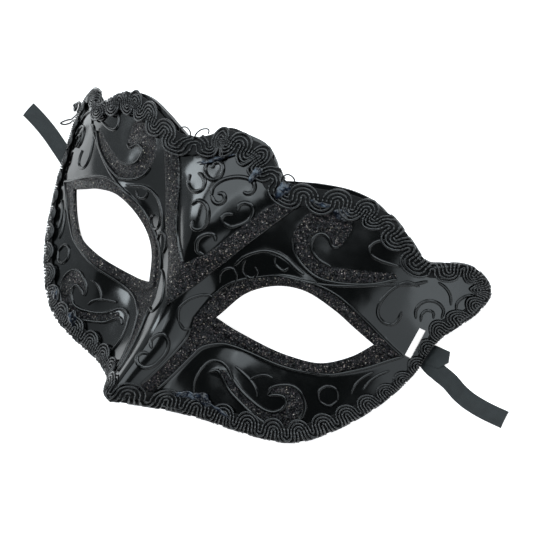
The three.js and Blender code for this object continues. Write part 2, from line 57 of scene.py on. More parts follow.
# The rim of one half: share of the half width, share of the rise or drop, and the braid's width
# and inset there as shares of its full width.
RIM = {
    "crown": (0.0, 1.0, 1.0, -0.1),
    "crown shoulder": (0.09, 0.99, 0.95, -0.1),
    "crown corner": (0.15, 0.936, 0.95, -0.1),
    "crown valley": (0.213, 0.862, 0.95, -0.1),
    "brow start": (0.276, 0.882, 1.0, 0.05),
    "brow": (0.38, 0.928, 0.95, 0.16),
    "brow top": (0.497, 0.959, 0.95, 0.12),
    "brow fall": (0.595, 0.943, 0.95, 0.04),
    "brow end": (0.683, 0.868, 0.85, -0.06),
    "wing notch": (0.81, 0.738, 0.7, -0.1),
    "wing back": (0.876, 0.78, 0.65, -0.1),
    "wing shoulder": (0.94, 0.797, 0.6, -0.1),
    "wing tip": (1.0, 0.725, 0.52, -0.1),
    "wing under": (0.995, 0.61, 0.52, -0.1),
    "wing root": (0.924, 0.385, 0.42, -0.1),
    "temple": (0.898, 0.19, 0.42, -0.1),
    "cheek side": (0.83, -0.086, 0.6, -0.1),
    "cheek turn": (0.728, -0.485, 0.75, -0.1),
    "cheek low": (0.61, -0.767, 0.85, -0.1),
    "cheek foot": (0.42, -0.896, 0.85, -0.1),
    "nose side": (0.24, -0.945, 0.8, -0.1),
    "nose foot": (0.09, -0.975, 0.72, -0.1),
    "nose low": (0.0, -1.0, 0.7, -0.1),
}

# The edge of an eye hole: share of its width, share of its height.
EYE_WIDTH = 52.8
EYE_HEIGHT = 23.6
EYE_INSET = 15.2
EYE_LIFT = 2.2
UPPER_LID = [
    (0, 0.03), (0.117, 0.515), (0.305, 0.82), (0.515, 0.945), (0.731, 0.855), (0.86, 0.74), (1, 0.615),
]
LOWER_LID = [
    (1, 0.615), (0.898, 0.325), (0.746, 0.07), (0.555, -0.02), (0.32, -0.055), (0.12, -0.03), (0, 0.03),
]

# How far the face stands out, in shares of its depth, on sections across it from below the nose
# to the crown. The columns stand at ridge, flank, inner, middle, outer and wing.
COLUMN_SHARES = [0, 0.133, 0.287, 0.508, 0.773, 1.05]
SECTIONS = {
    -1.53: (0.481, 0.131, -0.096, -0.196, -0.37, -0.624),
    -0.914: (0.294, 0.054, -0.098, -0.18, -0.341, -0.591),
    -0.331: (0.1, -0.031, -0.126, -0.178, -0.333, -0.587),
    0.129: (0.065, -0.041, -0.163, -0.187, -0.356, -0.609),
    0.443: (0.072, 0.02, -0.059, -0.135, -0.326, -0.661),
    0.852: (-0.015, -0.052, -0.048, -0.159, -0.343, -0.748),
}

# Which place of the eye's edge and which of the rim each part of a turn round the eye joins:
# turn, place round the lids, and the name in the rim or the height on the middle line.
TURNS = [
    (0.0, 0.0, 0.02),
    (0.16, 0.4, 1.0),
    (0.22, 0.56, "crown valley"),
    (0.33, 0.86, "brow fall"),
    (0.4, 1.0, "wing notch"),
    (0.51, 1.0, "wing root"),
    (0.61, 1.32, "cheek turn"),
    (0.7, 1.58, "cheek foot"),
    (0.76, 1.72, "nose side"),
    (0.86, 1.88, "nose foot"),
    (0.9, 1.92, "nose low"),
    (1.0, 2.0, 0.02),
]


def height(share):
    """A height over the bridge of the nose, in millimetres."""
    return share * (CROWN_RISE if share > 0 else NOSE_DROP)


def station_shares(stations, places):
    """How much each station counts in a smooth curve through them, read at the places."""
    stations = np.asarray(stations, float)
    places = np.atleast_1d(np.asarray(places, float))
    low = np.clip(np.searchsorted(stations, places, side="left") - 1, 0, len(stations) - 2)
    step = stations[low + 1] - stations[low]
    t = np.clip((places - stations[low]) / step, -0.6, 1.6)
    shares = np.zeros((len(places), len(stations)))
    row = np.arange(len(places))
    np.add.at(shares, (row, low), 2 * t**3 - 3 * t**2 + 1)
    np.add.at(shares, (row, low + 1), 3 * t**2 - 2 * t**3)
    for at, pull in ((low, t**3 - 2 * t**2 + t), (low + 1, t**3 - t**2)):
        before = np.maximum(at - 1, 0)
        after = np.minimum(at + 1, len(stations) - 1)
        slope = pull * step / (stations[after] - stations[before])
        np.add.at(shares, (row, after), slope)
        np.add.at(shares, (row, before), -slope)
    return shares


COLUMN_AT = [-HALF_WIDTH * s for s in COLUMN_SHARES[:0:-1]] + [HALF_WIDTH * s for s in COLUMN_SHARES]
ROW_AT = [height(up) for up in SECTIONS]
DEPTHS = np.array([row[:0:-1] + row for row in SECTIONS.values()]) * FACE_DEPTH


# Steps from one given point of a smooth line to the next.
FINE = 40


def smooth_line(points, fine=FINE):
    """A smooth line through points, as many short steps."""
    p = np.asarray(points, float)
    p = np.vstack([2 * p[0] - p[1], p, 2 * p[-1] - p[-2]])
    pieces = []
    for k in range(1, len(p) - 2):
        a, b, c, d = p[k - 1 : k + 3]
        d0, d1, d2 = (np.linalg.norm(v) ** 0.5 for v in (b - a, c - b, d - c))
        leave = ((b - a) / d0 - (c - a) / (d0 + d1) + (c - b) / d1) * d1
        arrive = ((c - b) / d1 - (d - b) / (d1 + d2) + (d - c) / d2) * d1
        t = np.linspace(0, 1, fine, endpoint=False)[:, None]
        cubic = 2 * b - 2 * c + leave + arrive
        pieces.append(b + leave * t + (c - b - leave - cubic) * t**2 + cubic * t**3)
    pieces.append(p[-2][None])
    return np.vstack(pieces)


def run_of(line):
    """The length run at each point of a line."""
    return np.concatenate([[0], np.cumsum(np.linalg.norm(np.diff(line, axis=0), axis=1))])


def along(line, shares):
    """Places on a line at shares of its length."""
    run = run_of(line)
    reach = np.clip(shares, 0, 1) * run[-1]
    return np.stack([np.interp(reach, run, line[:, k]) for k in range(line.shape[1])], -1)


def edge_distance(x, y, outline):
    """How far each place lies inside an outline, in millimetres: less than zero outside it."""
    p = np.asarray(outline, float)
    nearest = np.full(len(x), 1e9)
    inside = np.zeros(len(x), bool)
    for (ax, ay), (bx, by) in zip(p, np.roll(p, -1, axis=0)):
        dx, dy = bx - ax, by - ay
        t = np.clip(((x - ax) * dx + (y - ay) * dy) / max(dx * dx + dy * dy, 1e-9), 0, 1)
        nearest = np.minimum(nearest, np.hypot(x - ax - t * dx, y - ay - t * dy))
        if ay != by:
            inside ^= ((ay > y) != (by > y)) & (x < ax + (y - ay) * dx / dy)
    return np.where(inside, nearest, -nearest)


# Outlines on one half, in millimetres from the bridge of the nose. Glitter covers the eye's, the
# comma's and the cheek's field. The brow only swells out, and so does the crown between the two
# glitter bands, whose outer and inner edges are the lines of the V.
EYE_FIELD = [
    (11.9, 8.6), (14.1, 12.6), (17.0, 16.0), (20.5, 18.7), (25.3, 21.5), (30.5, 24.2), (36.0, 25.8),
    (41.5, 26.8), (46.8, 27.3), (52.1, 26.8), (57.8, 25.0), (63.5, 22.6), (69.1, 19.7), (73.6, 17.4),
    (77.2, 15.8), (73.1, 12.1), (69.4, 8.5), (64.3, 4.4), (59.0, 0.8), (52.9, -1.3), (46.2, -2.9),
    (38.6, -3.8), (30.3, -4.2), (24.6, -4.6), (20.3, -5.4), (16.9, -7.3), (14.4, -9.6), (13.1, -12.9),
    (12.1, -15.9), (10.4, -22.0), (9.1, -26.4), (8.0, -31.0), (4.4, -31.0), (5.3, -26.0), (6.5, -21.6),
    (7.6, -16.6), (8.5, -12.3), (9.3, -8.2), (9.2, -4.6), (9.0, -1.0), (10.2, 3.5),
]
COMMA_FIELD = [
    (67.4, 39.2), (62.4, 35.4), (56.8, 32.6), (49.2, 30.2), (44.1, 29.7), (37.8, 31.7), (33.5, 34.9),
    (31.7, 38.4), (31.4, 42.7), (33.0, 46.9), (36.6, 51.8), (42.0, 54.0), (47.0, 53.0), (48.9, 49.2),
    (48.5, 44.8), (47.3, 42.0), (45.4, 41.2), (43.2, 43.1), (40.8, 43.9), (39.1, 42.8), (38.4, 40.3),
    (39.5, 37.5), (42.9, 35.4), (47.4, 34.8), (53.5, 36.8), (61.0, 39.1), (66.7, 41.0),
]
CHEEK_FIELD = [
    (20.0, -15.6), (21.6, -13.6), (24.7, -12.8), (28.3, -14.8), (32.5, -17.0), (37.3, -18.5), (42.5, -19.4),
    (46.1, -18.9), (48.5, -16.6), (49.0, -14.2), (47.4, -12.7), (45.2, -13.0), (42.6, -14.5), (42.4, -11.7),
    (45.2, -9.3), (48.8, -8.0), (53.0, -9.4), (55.6, -13.3), (55.0, -18.4), (50.5, -22.8), (46.4, -23.6),
    (42.5, -23.2), (38.1, -22.2), (33.4, -20.7), (28.6, -18.8), (24.0, -15.6),
]
BROW_SWELL = [
    (13.0, 12.0), (16.0, 21.4), (18.4, 25.7), (20.8, 28.2), (24.4, 30.6), (29.0, 31.5), (33.0, 31.0),
    (36.6, 29.7), (40.0, 28.7), (45.0, 27.5), (40.0, 26.6), (30.0, 24.0), (20.0, 18.5),
]
V_OUTER = [(0.0, -0.6), (5.6, 8.6), (9.9, 16.1), (14.2, 22.8), (19.1, 31.1), (23.6, 38.6), (28.6, 46.8)]
V_INNER = [(0.0, 15.4), (2.0, 17.6), (6.1, 21.7), (10.6, 29.2), (14.7, 36.9), (19.8, 45.3), (24.3, 51.4)]
CROWN_FIELD = V_INNER + [(16.0, 58.0), (9.0, 64.0), (0.0, 66.0), (-30.0, 66.0), (-30.0, 0.0), (0.0, 0.0)]
# How high each part swells, how far inside its outline that starts and over what width it rises.
SWELLINGS = [
    (EYE_FIELD, 0.36, 0.0, 1.7),
    (BROW_SWELL, 0.4, 0.0, 1.8),
    (COMMA_FIELD, 0.06, 0.4, 1.4),
    (CHEEK_FIELD, 0.2, 0.3, 1.3),
]
CROWN_BULGE = 1.7
CROWN_BULGE_RUN = 12.0


def swell(distance, width):
    """A smooth step from 0 outside to 1 inside, over a width in millimetres."""
    t = np.clip(distance / width + 0.5, 0, 1)
    return t * t * (3 - 2 * t)


def face_depth(x, y):
    """How far the front of the face stands out over each place of the front view."""
    x = np.atleast_1d(np.asarray(x, float))
    y = np.atleast_1d(np.asarray(y, float))
    deep = np.einsum("ij,jk,ik->i", station_shares(ROW_AT, y), DEPTHS, station_shares(COLUMN_AT, x))
    side = np.abs(x)
    for outline, rise, inset, width in SWELLINGS:
        deep += rise * swell(edge_distance(side, y, outline) - inset, width)
    crown = np.clip(edge_distance(side, y, CROWN_FIELD) / CROWN_BULGE_RUN, 0, 1)
    deep += CROWN_BULGE * (1 - (1 - crown) ** 2)
    return deep


# The slope of the face is taken over this far to each side.
FEEL = 0.35


def facing(x, y):
    """The outward direction of the face."""
    dx = (face_depth(x + FEEL, y) - face_depth(x - FEEL, y)) / (2 * FEEL)
    dy = (face_depth(x, y + FEEL) - face_depth(x, y - FEEL)) / (2 * FEEL)
    out = np.stack([-dx, -dy, np.ones_like(dx)], -1)
    return out / np.linalg.norm(out, axis=1)[:, None]


def on_face(x, y, lift):
    """Places at a height over the face, in millimetres in the mask's own frame."""
    x = np.atleast_1d(np.asarray(x, float))
    y = np.atleast_1d(np.asarray(y, float))
    deep = face_depth(x, y)
    return np.stack([x, y, deep], -1) + facing(x, y) * np.reshape(lift, (-1, 1))


def at_rest(points):
    """The mask's own frame turned and set down on the table, in metres."""
    x, y, z = np.asarray(points, float).T
    ahead = y * math.cos(LEAN) - z * math.sin(LEAN) + SET_BACK
    up = y * math.sin(LEAN) + z * math.cos(LEAN) + STAND
    return np.stack([x, ahead, up], -1) * MM


rim_line = smooth_line([(HALF_WIDTH * a, height(b)) for a, b, _, _ in RIM.values()])
rim_run = run_of(rim_line)
RIM_PLACES = dict(zip(RIM, rim_run[::FINE] / rim_run[-1]))


def lid_point(row):
    """A place on the edge of the eye hole."""
    return (EYE_INSET + row[0] * EYE_WIDTH, EYE_LIFT + (row[1] - UPPER_LID[0][1]) * EYE_HEIGHT)


upper_lid = smooth_line([lid_point(row) for row in UPPER_LID])
lower_lid = smooth_line([lid_point(row) for row in LOWER_LID])


def ring_ends(turns):
    """Where each turn starts on the edge of the eye hole and ends on the rim or the middle line."""
    lid = np.interp(turns, [row[0] for row in TURNS], [row[1] for row in TURNS])
    over = along(upper_lid, np.minimum(lid, 1))
    eye = np.where((lid <= 1)[:, None], over, along(lower_lid, np.clip(lid - 1, 0, 1)))
    outer = np.zeros((len(turns), 2))
    for (t0, _, a), (t1, _, b) in zip(TURNS, TURNS[1:]):
        here = (turns >= t0 - 1e-9) & (turns <= t1 + 1e-9)
        t = (turns[here] - t0) / (t1 - t0)
        if isinstance(b, str):
            start = 0.0 if not isinstance(a, str) else RIM_PLACES[a]
            outer[here] = along(rim_line, start + (RIM_PLACES[b] - start) * t)
        else:
            start = -NOSE_DROP if isinstance(a, str) else height(a)
            outer[here] = np.stack([0 * t, start + (height(b) - start) * t], -1)
    return eye, outer


def new_object(name, points, faces):
    """A new object at the origin from points in metres."""
    mesh = bpy.data.meshes.new(name)
    mesh.from_pydata([tuple(p) for p in points], [], faces)
    mesh.update()
    new = bpy.data.objects.new(name, mesh)
    bpy.context.scene.collection.objects.link(new)
    return new


def only(piece):
    """Makes a piece the one that operators act on."""
    bpy.ops.object.select_all(action="DESELECT")
    piece.select_set(True)
    bpy.context.view_layer.objects.active = piece


def apply_modifier(piece, kind, **settings):
    """Adds a modifier with its settings and applies it."""
    only(piece)
    modifier = piece.modifiers.new(kind.title(), kind)
    for key, value in settings.items():
        setattr(modifier, key, value)
    bpy.ops.object.modifier_apply(modifier=modifier.name)


# The mould left the face a little uneven. Each row is a place that has moved, told as on the rim,
# then how far round it that reaches and its move across and up, in shares of the half width.
UNEVEN = {
    "crown": (0.04, 1.0, 0.22, 0.02, 0.0045),
    "crown foot on the right": (-0.18, 0.9, 0.1, 0.009, -0.01),
    "right brow": (-0.52, 0.94, 0.26, 0.0, -0.018),
    "nose foot": (0.0, -1.04, 0.165, 0.0, -0.024),
    "left wing": (0.97, 0.7, 0.18, 0.01, 0.0055),
    "left notch": (0.76, 0.82, 0.1, 0.008, 0.009),
}


def settle(piece):
    """Gives a finished piece the face's unevenness, across and up the face only."""
    points = np.empty(len(piece.data.vertices) * 3)
    piece.data.vertices.foreach_get("co", points)
    points = points.reshape(-1, 3)
    x, ahead, up = points.T / MM
    y = (ahead - SET_BACK) * math.cos(LEAN) + (up - STAND) * math.sin(LEAN)
    moved = points.copy()
    for at, share_up, reach, aside, rise in UNEVEN.values():
        away = np.hypot(x - at * HALF_WIDTH, y - height(share_up)) / (reach * HALF_WIDTH)
        share = np.exp(-(away**2)) * HALF_WIDTH * MM
        moved[:, 0] += aside * share
        moved[:, 1] += rise * share * math.cos(LEAN)
        moved[:, 2] += rise * share * math.sin(LEAN)
    piece.data.vertices.foreach_set("co", moved.ravel())
    piece.data.update()


def edit(piece, action):
    """Runs one edit-mode action on the whole of a piece."""
    only(piece)
    bpy.ops.object.mode_set(mode="EDIT")
    bpy.ops.mesh.select_all(action="SELECT")
    action()
    bpy.ops.object.mode_set(mode="OBJECT")


def face_out(piece):
    """Turns the faces of a closed piece outwards, and those of a sheet all to one side."""
    edit(piece, lambda: bpy.ops.mesh.normals_make_consistent(inside=False))


def face_up(piece):
    """Turns a sheet over if its faces point down."""
    if sum(f.normal.z for f in piece.data.polygons) < 0:
        edit(piece, bpy.ops.mesh.flip_normals)


def shade(piece, sharp_from=None):
    """Shades a piece smooth, but for edges sharper than so many degrees."""
    only(piece)
    if sharp_from is None:
        bpy.ops.object.shade_smooth()
    else:
        bpy.ops.object.shade_smooth_by_angle(angle=math.radians(sharp_from))


def store(piece, name, values):
    """Keeps one number for each vertex of a piece."""
    layer = piece.data.attributes.new(name, "FLOAT", "POINT")
    layer.data.foreach_set("value", np.asarray(values, np.float32))


def flat_grid(name, columns, rows):
    """A flat grid to be formed, and the place of each of its vertices from 0 to 1."""
    bpy.ops.object.select_all(action="DESELECT")
    bpy.ops.mesh.primitive_grid_add(x_subdivisions=columns, y_subdivisions=rows, size=1)
    grid = bpy.context.object
    grid.name = name
    flat = np.empty(len(grid.data.vertices) * 3)
    grid.data.vertices.foreach_get("co", flat)
    return grid, flat.reshape(-1, 3)[:, :2] + 0.5


# The mesh has so many columns round one eye hole. Its first rings lie this far from the hole and
# this high, for the rolled lip, and the others widen out to the rim.
AROUND = 420
LIP = [0.0, 0.25, 0.6, 1.2, 1.9, 2.6, 3.2, 3.5, 3.8, 4.2]
LIP_LIFT = [0.25, 0.48, 0.6, 0.6, 0.6, 0.6, 0.6, 0.45, 0.12, 0.0]
OUT_STEPS = 38
# Vertices nearer to each other than this, in metres, are made one.
MERGE = 0.00002
# How far inside the outline of each field the glitter starts, and how far from its edge the
# attribute still counts. On the cut edge and the back it holds the mark, so that they look matt.
GLITTER_FIELDS = [(EYE_FIELD, 0.1), (COMMA_FIELD, 0.1), (CHEEK_FIELD, 0.35)]
GLITTER_REACH = 3
BACK_MARK = -9

shell, flat = flat_grid("shell", AROUND, len(LIP) - 1 + OUT_STEPS)
turn = flat[:, 0]
ring = np.rint(flat[:, 1] * (len(LIP) - 1 + OUT_STEPS)).astype(int)
eye, outer = ring_ends(turn)
span = np.linalg.norm(outer - eye, axis=1)
near = np.array(LIP)[np.minimum(ring, len(LIP) - 1)] / span
far = LIP[-1] / span + (1 - LIP[-1] / span) * np.clip(ring - len(LIP) + 1, 0, None) / OUT_STEPS
share = np.where(ring < len(LIP), near, far)
place = eye + (outer - eye) * share[:, None]
place[(ring == ring.max()) & (outer[:, 0] < 1e-6), 0] = 0
lift = np.array(LIP_LIFT)[np.minimum(ring, len(LIP) - 1)]
formed = on_face(place[:, 0], place[:, 1], lift)
formed[place[:, 0] == 0, 0] = 0
shell.data.vertices.foreach_set("co", at_rest(formed).ravel())
glitter = np.full(len(place), -GLITTER_REACH, float)
for outline, inset in GLITTER_FIELDS:
    glitter = np.maximum(glitter, edge_distance(place[:, 0], place[:, 1], outline) - inset)
store(shell, "glitter", np.minimum(glitter, GLITTER_REACH))
edit(shell, lambda: bpy.ops.mesh.remove_doubles(threshold=MERGE))
face_out(shell)
face_up(shell)
apply_modifier(shell, "MIRROR", merge_threshold=MERGE, use_clip=True)
front_count = len(shell.data.vertices)
apply_modifier(shell, "SOLIDIFY", thickness=WALL * MM, offset=-1)
values = np.empty(len(shell.data.vertices), np.float32)
shell.data.attributes["glitter"].data.foreach_get("value", values)
values[front_count:] = BACK_MARK
shell.data.attributes["glitter"].data.foreach_set("value", values)

# Each slot is a plain oblong hole beside the braid, a quarter of the way from the root of the wing
# down to the temple.
SLOT_DOWN = 0.25
SLOT_LENGTH = 10.6
SLOT_WIDTH = 2.3
SLOT_DEPTH = 8 * WALL
SLOT_TILT = math.radians(7)
BRAID_WIDTH = 9.0
rim_places = np.array(list(RIM_PLACES.values()))
rim_braid = np.array([row[2] for row in RIM.values()])
rim_inset = np.array([row[3] for row in RIM.values()])
slot_share = RIM_PLACES["wing root"] * (1 - SLOT_DOWN) + RIM_PLACES["temple"] * SLOT_DOWN
slot_at = along(rim_line, [slot_share])[0]
slot_braid = station_shares(rim_places, [slot_share]) @ np.stack([rim_braid, rim_inset], -1)
slot_x = slot_at[0] - BRAID_WIDTH * slot_braid.sum() - SLOT_WIDTH / 2
for side in (1, -1):
    out = facing(np.array([slot_x * side]), np.array([slot_at[1]]))[0]
    lengthwise = np.array([math.sin(SLOT_TILT) * side, math.cos(SLOT_TILT), 0])
    crosswise = np.cross(lengthwise, out)
    crosswise /= np.linalg.norm(crosswise)
    exact = np.cross(out, crosswise)
    bpy.ops.object.select_all(action="DESELECT")
    bpy.ops.mesh.primitive_cube_add(size=1)
    cutter = bpy.context.object
    corners = np.array([v.co[:] for v in cutter.data.vertices])
    middle = np.array([slot_x * side, slot_at[1], face_depth(slot_x, slot_at[1])[0]])
    shaped = middle + (
        corners[:, :1] * SLOT_WIDTH * crosswise
        + corners[:, 1:2] * SLOT_LENGTH * exact
        + corners[:, 2:] * SLOT_DEPTH * out
    )
    cutter.data.vertices.foreach_set("co", at_rest(shaped).ravel())
    face_out(cutter)
    apply_modifier(shell, "BOOLEAN", operation="DIFFERENCE", object=cutter, solver="EXACT")
    bpy.data.objects.remove(cutter)
settle(shell)
shade(shell, 38)


def linear(code):
    """A colour as the shader wants it, from its sRGB hex code."""
    parts = [int(code[i : i + 2], 16) / 255 for i in (1, 3, 5)]
    return [c / 12.92 if c <= 0.04045 else ((c + 0.055) / 1.055) ** 2.4 for c in parts] + [1.0]


def new_material(name):
    """A material with an empty node tree."""
    material = bpy.data.materials.new(name)
    material.use_nodes = True
    material.node_tree.nodes.clear()
    return material


def node(material, kind, settings=None, stops=(), **inputs):
    """Adds a node with its settings and sets or links its inputs, by name or, after a low line, by
    number. The stops of a colour ramp are places from 0 to 1 with their colours."""
    new = material.node_tree.nodes.new("ShaderNode" + kind)
    for key, value in (settings or {}).items():
        setattr(new, key, value)
    while stops and len(new.color_ramp.elements) < len(stops):
        new.color_ramp.elements.new(0.5)
    for number, (at, code) in enumerate(stops):
        new.color_ramp.elements[number].position = at
        new.color_ramp.elements[number].color = linear(code)
    for key, value in inputs.items():
        socket = new.inputs[int(key[1:])] if key[0] == "_" else new.inputs[key.replace("_", " ")]
        if isinstance(value, bpy.types.NodeSocket):
            material.node_tree.links.new(value, socket)
        else:
            socket.default_value = value
    return new


def plastic_with_glitter():
    """Moulded polystyrene, glossy from the mould, with black polyester glitter stuck on where the
    attribute says. The plain part mirrors the room softly; the glitter is a rough black bed in
    which single flakes catch the light. The scale of a pattern is its cells in a metre."""
    material = new_material("polystyrene_moulded_with_glitter")
    place = node(material, "TexCoord").outputs["Object"]
    field = node(material, "Attribute", {"attribute_name": "glitter"}).outputs["Fac"]
    # The sheet has soft waves about 9 mm long, from shrinking in the mould.
    waves = node(material, "TexNoise", Vector=place, Scale=110.0, Detail=1.0, Roughness=0.4)
    skin = node(material, "Bump", Strength=0.25, Distance=0.0006, Height=waves.outputs["Fac"])
    # Hands leave smudges about 4 mm wide, a little duller than the rest.
    smudge = node(material, "TexNoise", Vector=place, Scale=260.0, Detail=3.0, Roughness=0.6)
    # Glitter has no sharp edge: grains of glue stray by some tenths of a millimetre.
    ragged = node(material, "TexNoise", Vector=place, Scale=1300.0, Detail=1.0)
    stray = node(
        material, "Math", {"operation": "MULTIPLY_ADD"}, _0=ragged.outputs["Fac"], _1=1.5, _2=-0.75,
    )
    edge = node(material, "Math", {"operation": "ADD"}, _0=field, _1=stray.outputs[0])
    mask = node(
        material, "MapRange", {"interpolation_type": "SMOOTHSTEP"},
        Value=edge.outputs[0], From_Min=-0.05, From_Max=0.15,
    )
    # Flakes are drawn 0.35 mm wide, coarser than the real 0.2 mm, so that they show.
    flakes = node(material, "TexVoronoi", {"feature": "F1"}, Vector=place, Scale=2900.0)
    pick = node(material, "SeparateColor", Color=flakes.outputs["Color"])
    greys = [
        (0.0, "#070708"), (0.4, "#101012"), (0.65, "#232326"), (0.86, "#3c3b3c"), (0.96, "#5f5b58"),
        (1.0, "#a8a39b"),
    ]
    shine = node(material, "ValToRGB", stops=greys, Fac=pick.outputs[0])
    tint = node(material, "MixRGB", {"blend_type": "SOFT_LIGHT"}, Fac=0.12, Color1=shine.outputs[0])
    material.node_tree.links.new(flakes.outputs["Color"], tint.inputs["Color2"])
    colour = node(material, "MixRGB", Fac=mask.outputs[0], Color1=linear("#040505"))
    material.node_tree.links.new(tint.outputs[0], colour.inputs["Color2"])
    metal = node(material, "Math", {"operation": "MULTIPLY"}, _0=mask.outputs[0], _1=0.75)
    # The cut edge and the back, where the attribute holds its mark, are matt.
    matt = node(material, "MapRange", Value=field, From_Min=-3.2, From_Max=-3.0, To_Min=0.45, To_Max=0.08)
    plain_rough = node(material, "Math", {"operation": "MULTIPLY_ADD"}, _0=smudge.outputs["Fac"], _1=0.12)
    material.node_tree.links.new(matt.outputs[0], plain_rough.inputs[2])
    rough = node(material, "MapRange", Value=mask.outputs[0], To_Min=plain_rough.outputs[0], To_Max=0.42)
    # Each flake lies its own way.
    lean = node(
        material, "VectorMath", {"operation": "SUBTRACT"}, _0=flakes.outputs["Color"], _1=(0.5, 0.5, 0.5),
    )
    normal = node(material, "NewGeometry").outputs["Normal"]
    tilt = node(material, "VectorMath", {"operation": "SCALE"}, _0=lean.outputs[0], Scale=1.3)
    flake_way = node(material, "VectorMath", {"operation": "ADD"}, _0=normal, _1=tilt.outputs[0])
    way = node(
        material, "Mix", {"data_type": "VECTOR"},
        _0=mask.outputs[0], _4=skin.outputs[0], _5=flake_way.outputs[0],
    )
    unit = node(material, "VectorMath", {"operation": "NORMALIZE"}, _0=way.outputs[1])
    shader = node(
        material, "BsdfPrincipled", Base_Color=colour.outputs[0], Metallic=metal.outputs[0],
        Roughness=rough.outputs[0], Normal=unit.outputs[0], IOR=1.55,
    )
    node(material, "OutputMaterial", Surface=shader.outputs[0])
    return material


gloss = plastic_with_glitter()
shell.data.materials.clear()
shell.data.materials.append(gloss)
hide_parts("mask_shell")
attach(shell, "root")

# THE V BANDS
# Two flat bands that run from the bridge of the nose up to the crown, moulded a millimetre proud of
# the shell and covered with glitter between two narrow plain edges.
V_WALL = 0.9
V_PLAIN_EDGE = 0.45
V_ROWS = 90
# The section: shares of the way across, and how high each lies over the face.
V_ACROSS = [0.0, 0.03, 0.07, 0.12, 0.2, 0.35, 0.5, 0.65, 0.8, 0.88, 0.93, 0.97, 1.0]
V_LIFT = [-0.7, 0.35, 0.8, 0.95, 0.98, 1.0, 1.0, 1.0, 0.98, 0.95, 0.8, 0.35, -0.7]
v_outer = smooth_line(V_OUTER)
# Under the point of the V the two bands are one, so the middle line stands in for an inner edge.
v_inner = np.vstack([np.linspace(V_OUTER[0], V_INNER[0], FINE, endpoint=False), smooth_line(V_INNER)])
bands, flat = flat_grid("v_bands", len(V_ACROSS) - 1, V_ROWS)
column = np.rint(flat[:, 0] * (len(V_ACROSS) - 1)).astype(int)
up = flat[:, 1]
first = along(v_outer, up)
second = along(v_inner, up)
across = np.array(V_ACROSS)[column]
place = first + (second - first) * across[:, None]
lift = np.array(V_LIFT)[column]
joined = second[:, 0] < 1e-6
lift[joined & (across > 0.5)] = 1.0
formed = on_face(place[:, 0], place[:, 1], lift)
formed[joined & (across > 0.999), 0] = 0
bands.data.vertices.foreach_set("co", at_rest(formed).ravel())
wide = np.linalg.norm(second - first, axis=1)
to_edge = np.where(joined, across, np.minimum(across, 1 - across)) * wide
store(bands, "glitter", to_edge - V_PLAIN_EDGE)
edit(bands, lambda: bpy.ops.mesh.remove_doubles(threshold=MERGE))
face_out(bands)
face_up(bands)
apply_modifier(bands, "MIRROR", merge_threshold=MERGE, use_clip=True)
apply_modifier(bands, "SOLIDIFY", thickness=V_WALL * MM, offset=-1)
settle(bands)
shade(bands, 50)
bands.data.materials.append(gloss)
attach(bands, "root")

# THE SCROLLWORK
# Fine raised lines moulded with the shell, rounded and thin at their ends: 1.8 mm wide on the
# crown, 1.6 mm on the nose and 1.1 to 1.5 mm elsewhere. Each runs through a few places, counted in
# millimetres from the bridge of the nose.
CROWN_LINES = {
    "hook": [
        (-13.3, 43), (-12.5, 40.3), (-9.8, 38.8), (-6.6, 39), (-4.7, 40.8), (-5.4, 43.2), (-7.6, 44.6),
        (-9.9, 44.8),
    ],
    "drop": [
        (-9.1, 49.6), (-8, 46.6), (-4.6, 45), (-1.8, 45.4), (-0.7, 47.3), (-1.5, 49.9), (-3.9, 51.2),
        (-5.8, 50.1), (-5.5, 48.4),
    ],
    "crook": [
        (0.1, 40.2), (-1, 42.7), (0, 45.4), (2.4, 47.9), (6, 49.8), (9.6, 50.2), (11.8, 49), (12.2, 46.9),
        (10.9, 45.6), (9.3, 45.7),
    ],
    "crook heart": [(0.1, 40.2), (2.2, 38.8), (4.1, 38.9), (5.1, 40.8), (3.5, 42.4), (1.8, 41.7)],
    "crescent": [
        (-5.6, 34.5), (-3.9, 36.7), (-0.6, 36.9), (1.9, 35), (3.1, 31.8), (2.5, 29), (0.6, 27.8),
        (-1.6, 28.4), (-1.7, 30.2),
    ],
    "foot": [(7.9, 26.9), (7, 28.4), (4.8, 28.1), (3, 26.2), (2.5, 23.5), (3.5, 20.9), (5.7, 20.8)],
    "wave": [
        (10.5, 39.1), (10.2, 41.2), (11.4, 42.5), (13.7, 42.7), (15.1, 41.5), (15.4, 38.7), (13.7, 35.7),
        (11, 33.4),
    ],
    "wave end": [(13.7, 35.7), (11, 33.4), (8.4, 33.4), (7.1, 34.7), (7.6, 36.7), (9.9, 37.4)],
}
NOSE_LINES = {
    "curl": [
        (2, -15.1), (0.3, -13.2), (0.9, -11.1), (2.7, -9.8), (4.7, -10.8), (6, -13.6), (6, -16.6),
        (5.3, -19.6),
    ],
    "hook": [
        (6, -16.6), (5.3, -19.6), (3.7, -21.1), (1.3, -20.7), (-0.4, -19.2), (0.2, -17.4), (2.1, -16.9),
    ],
}
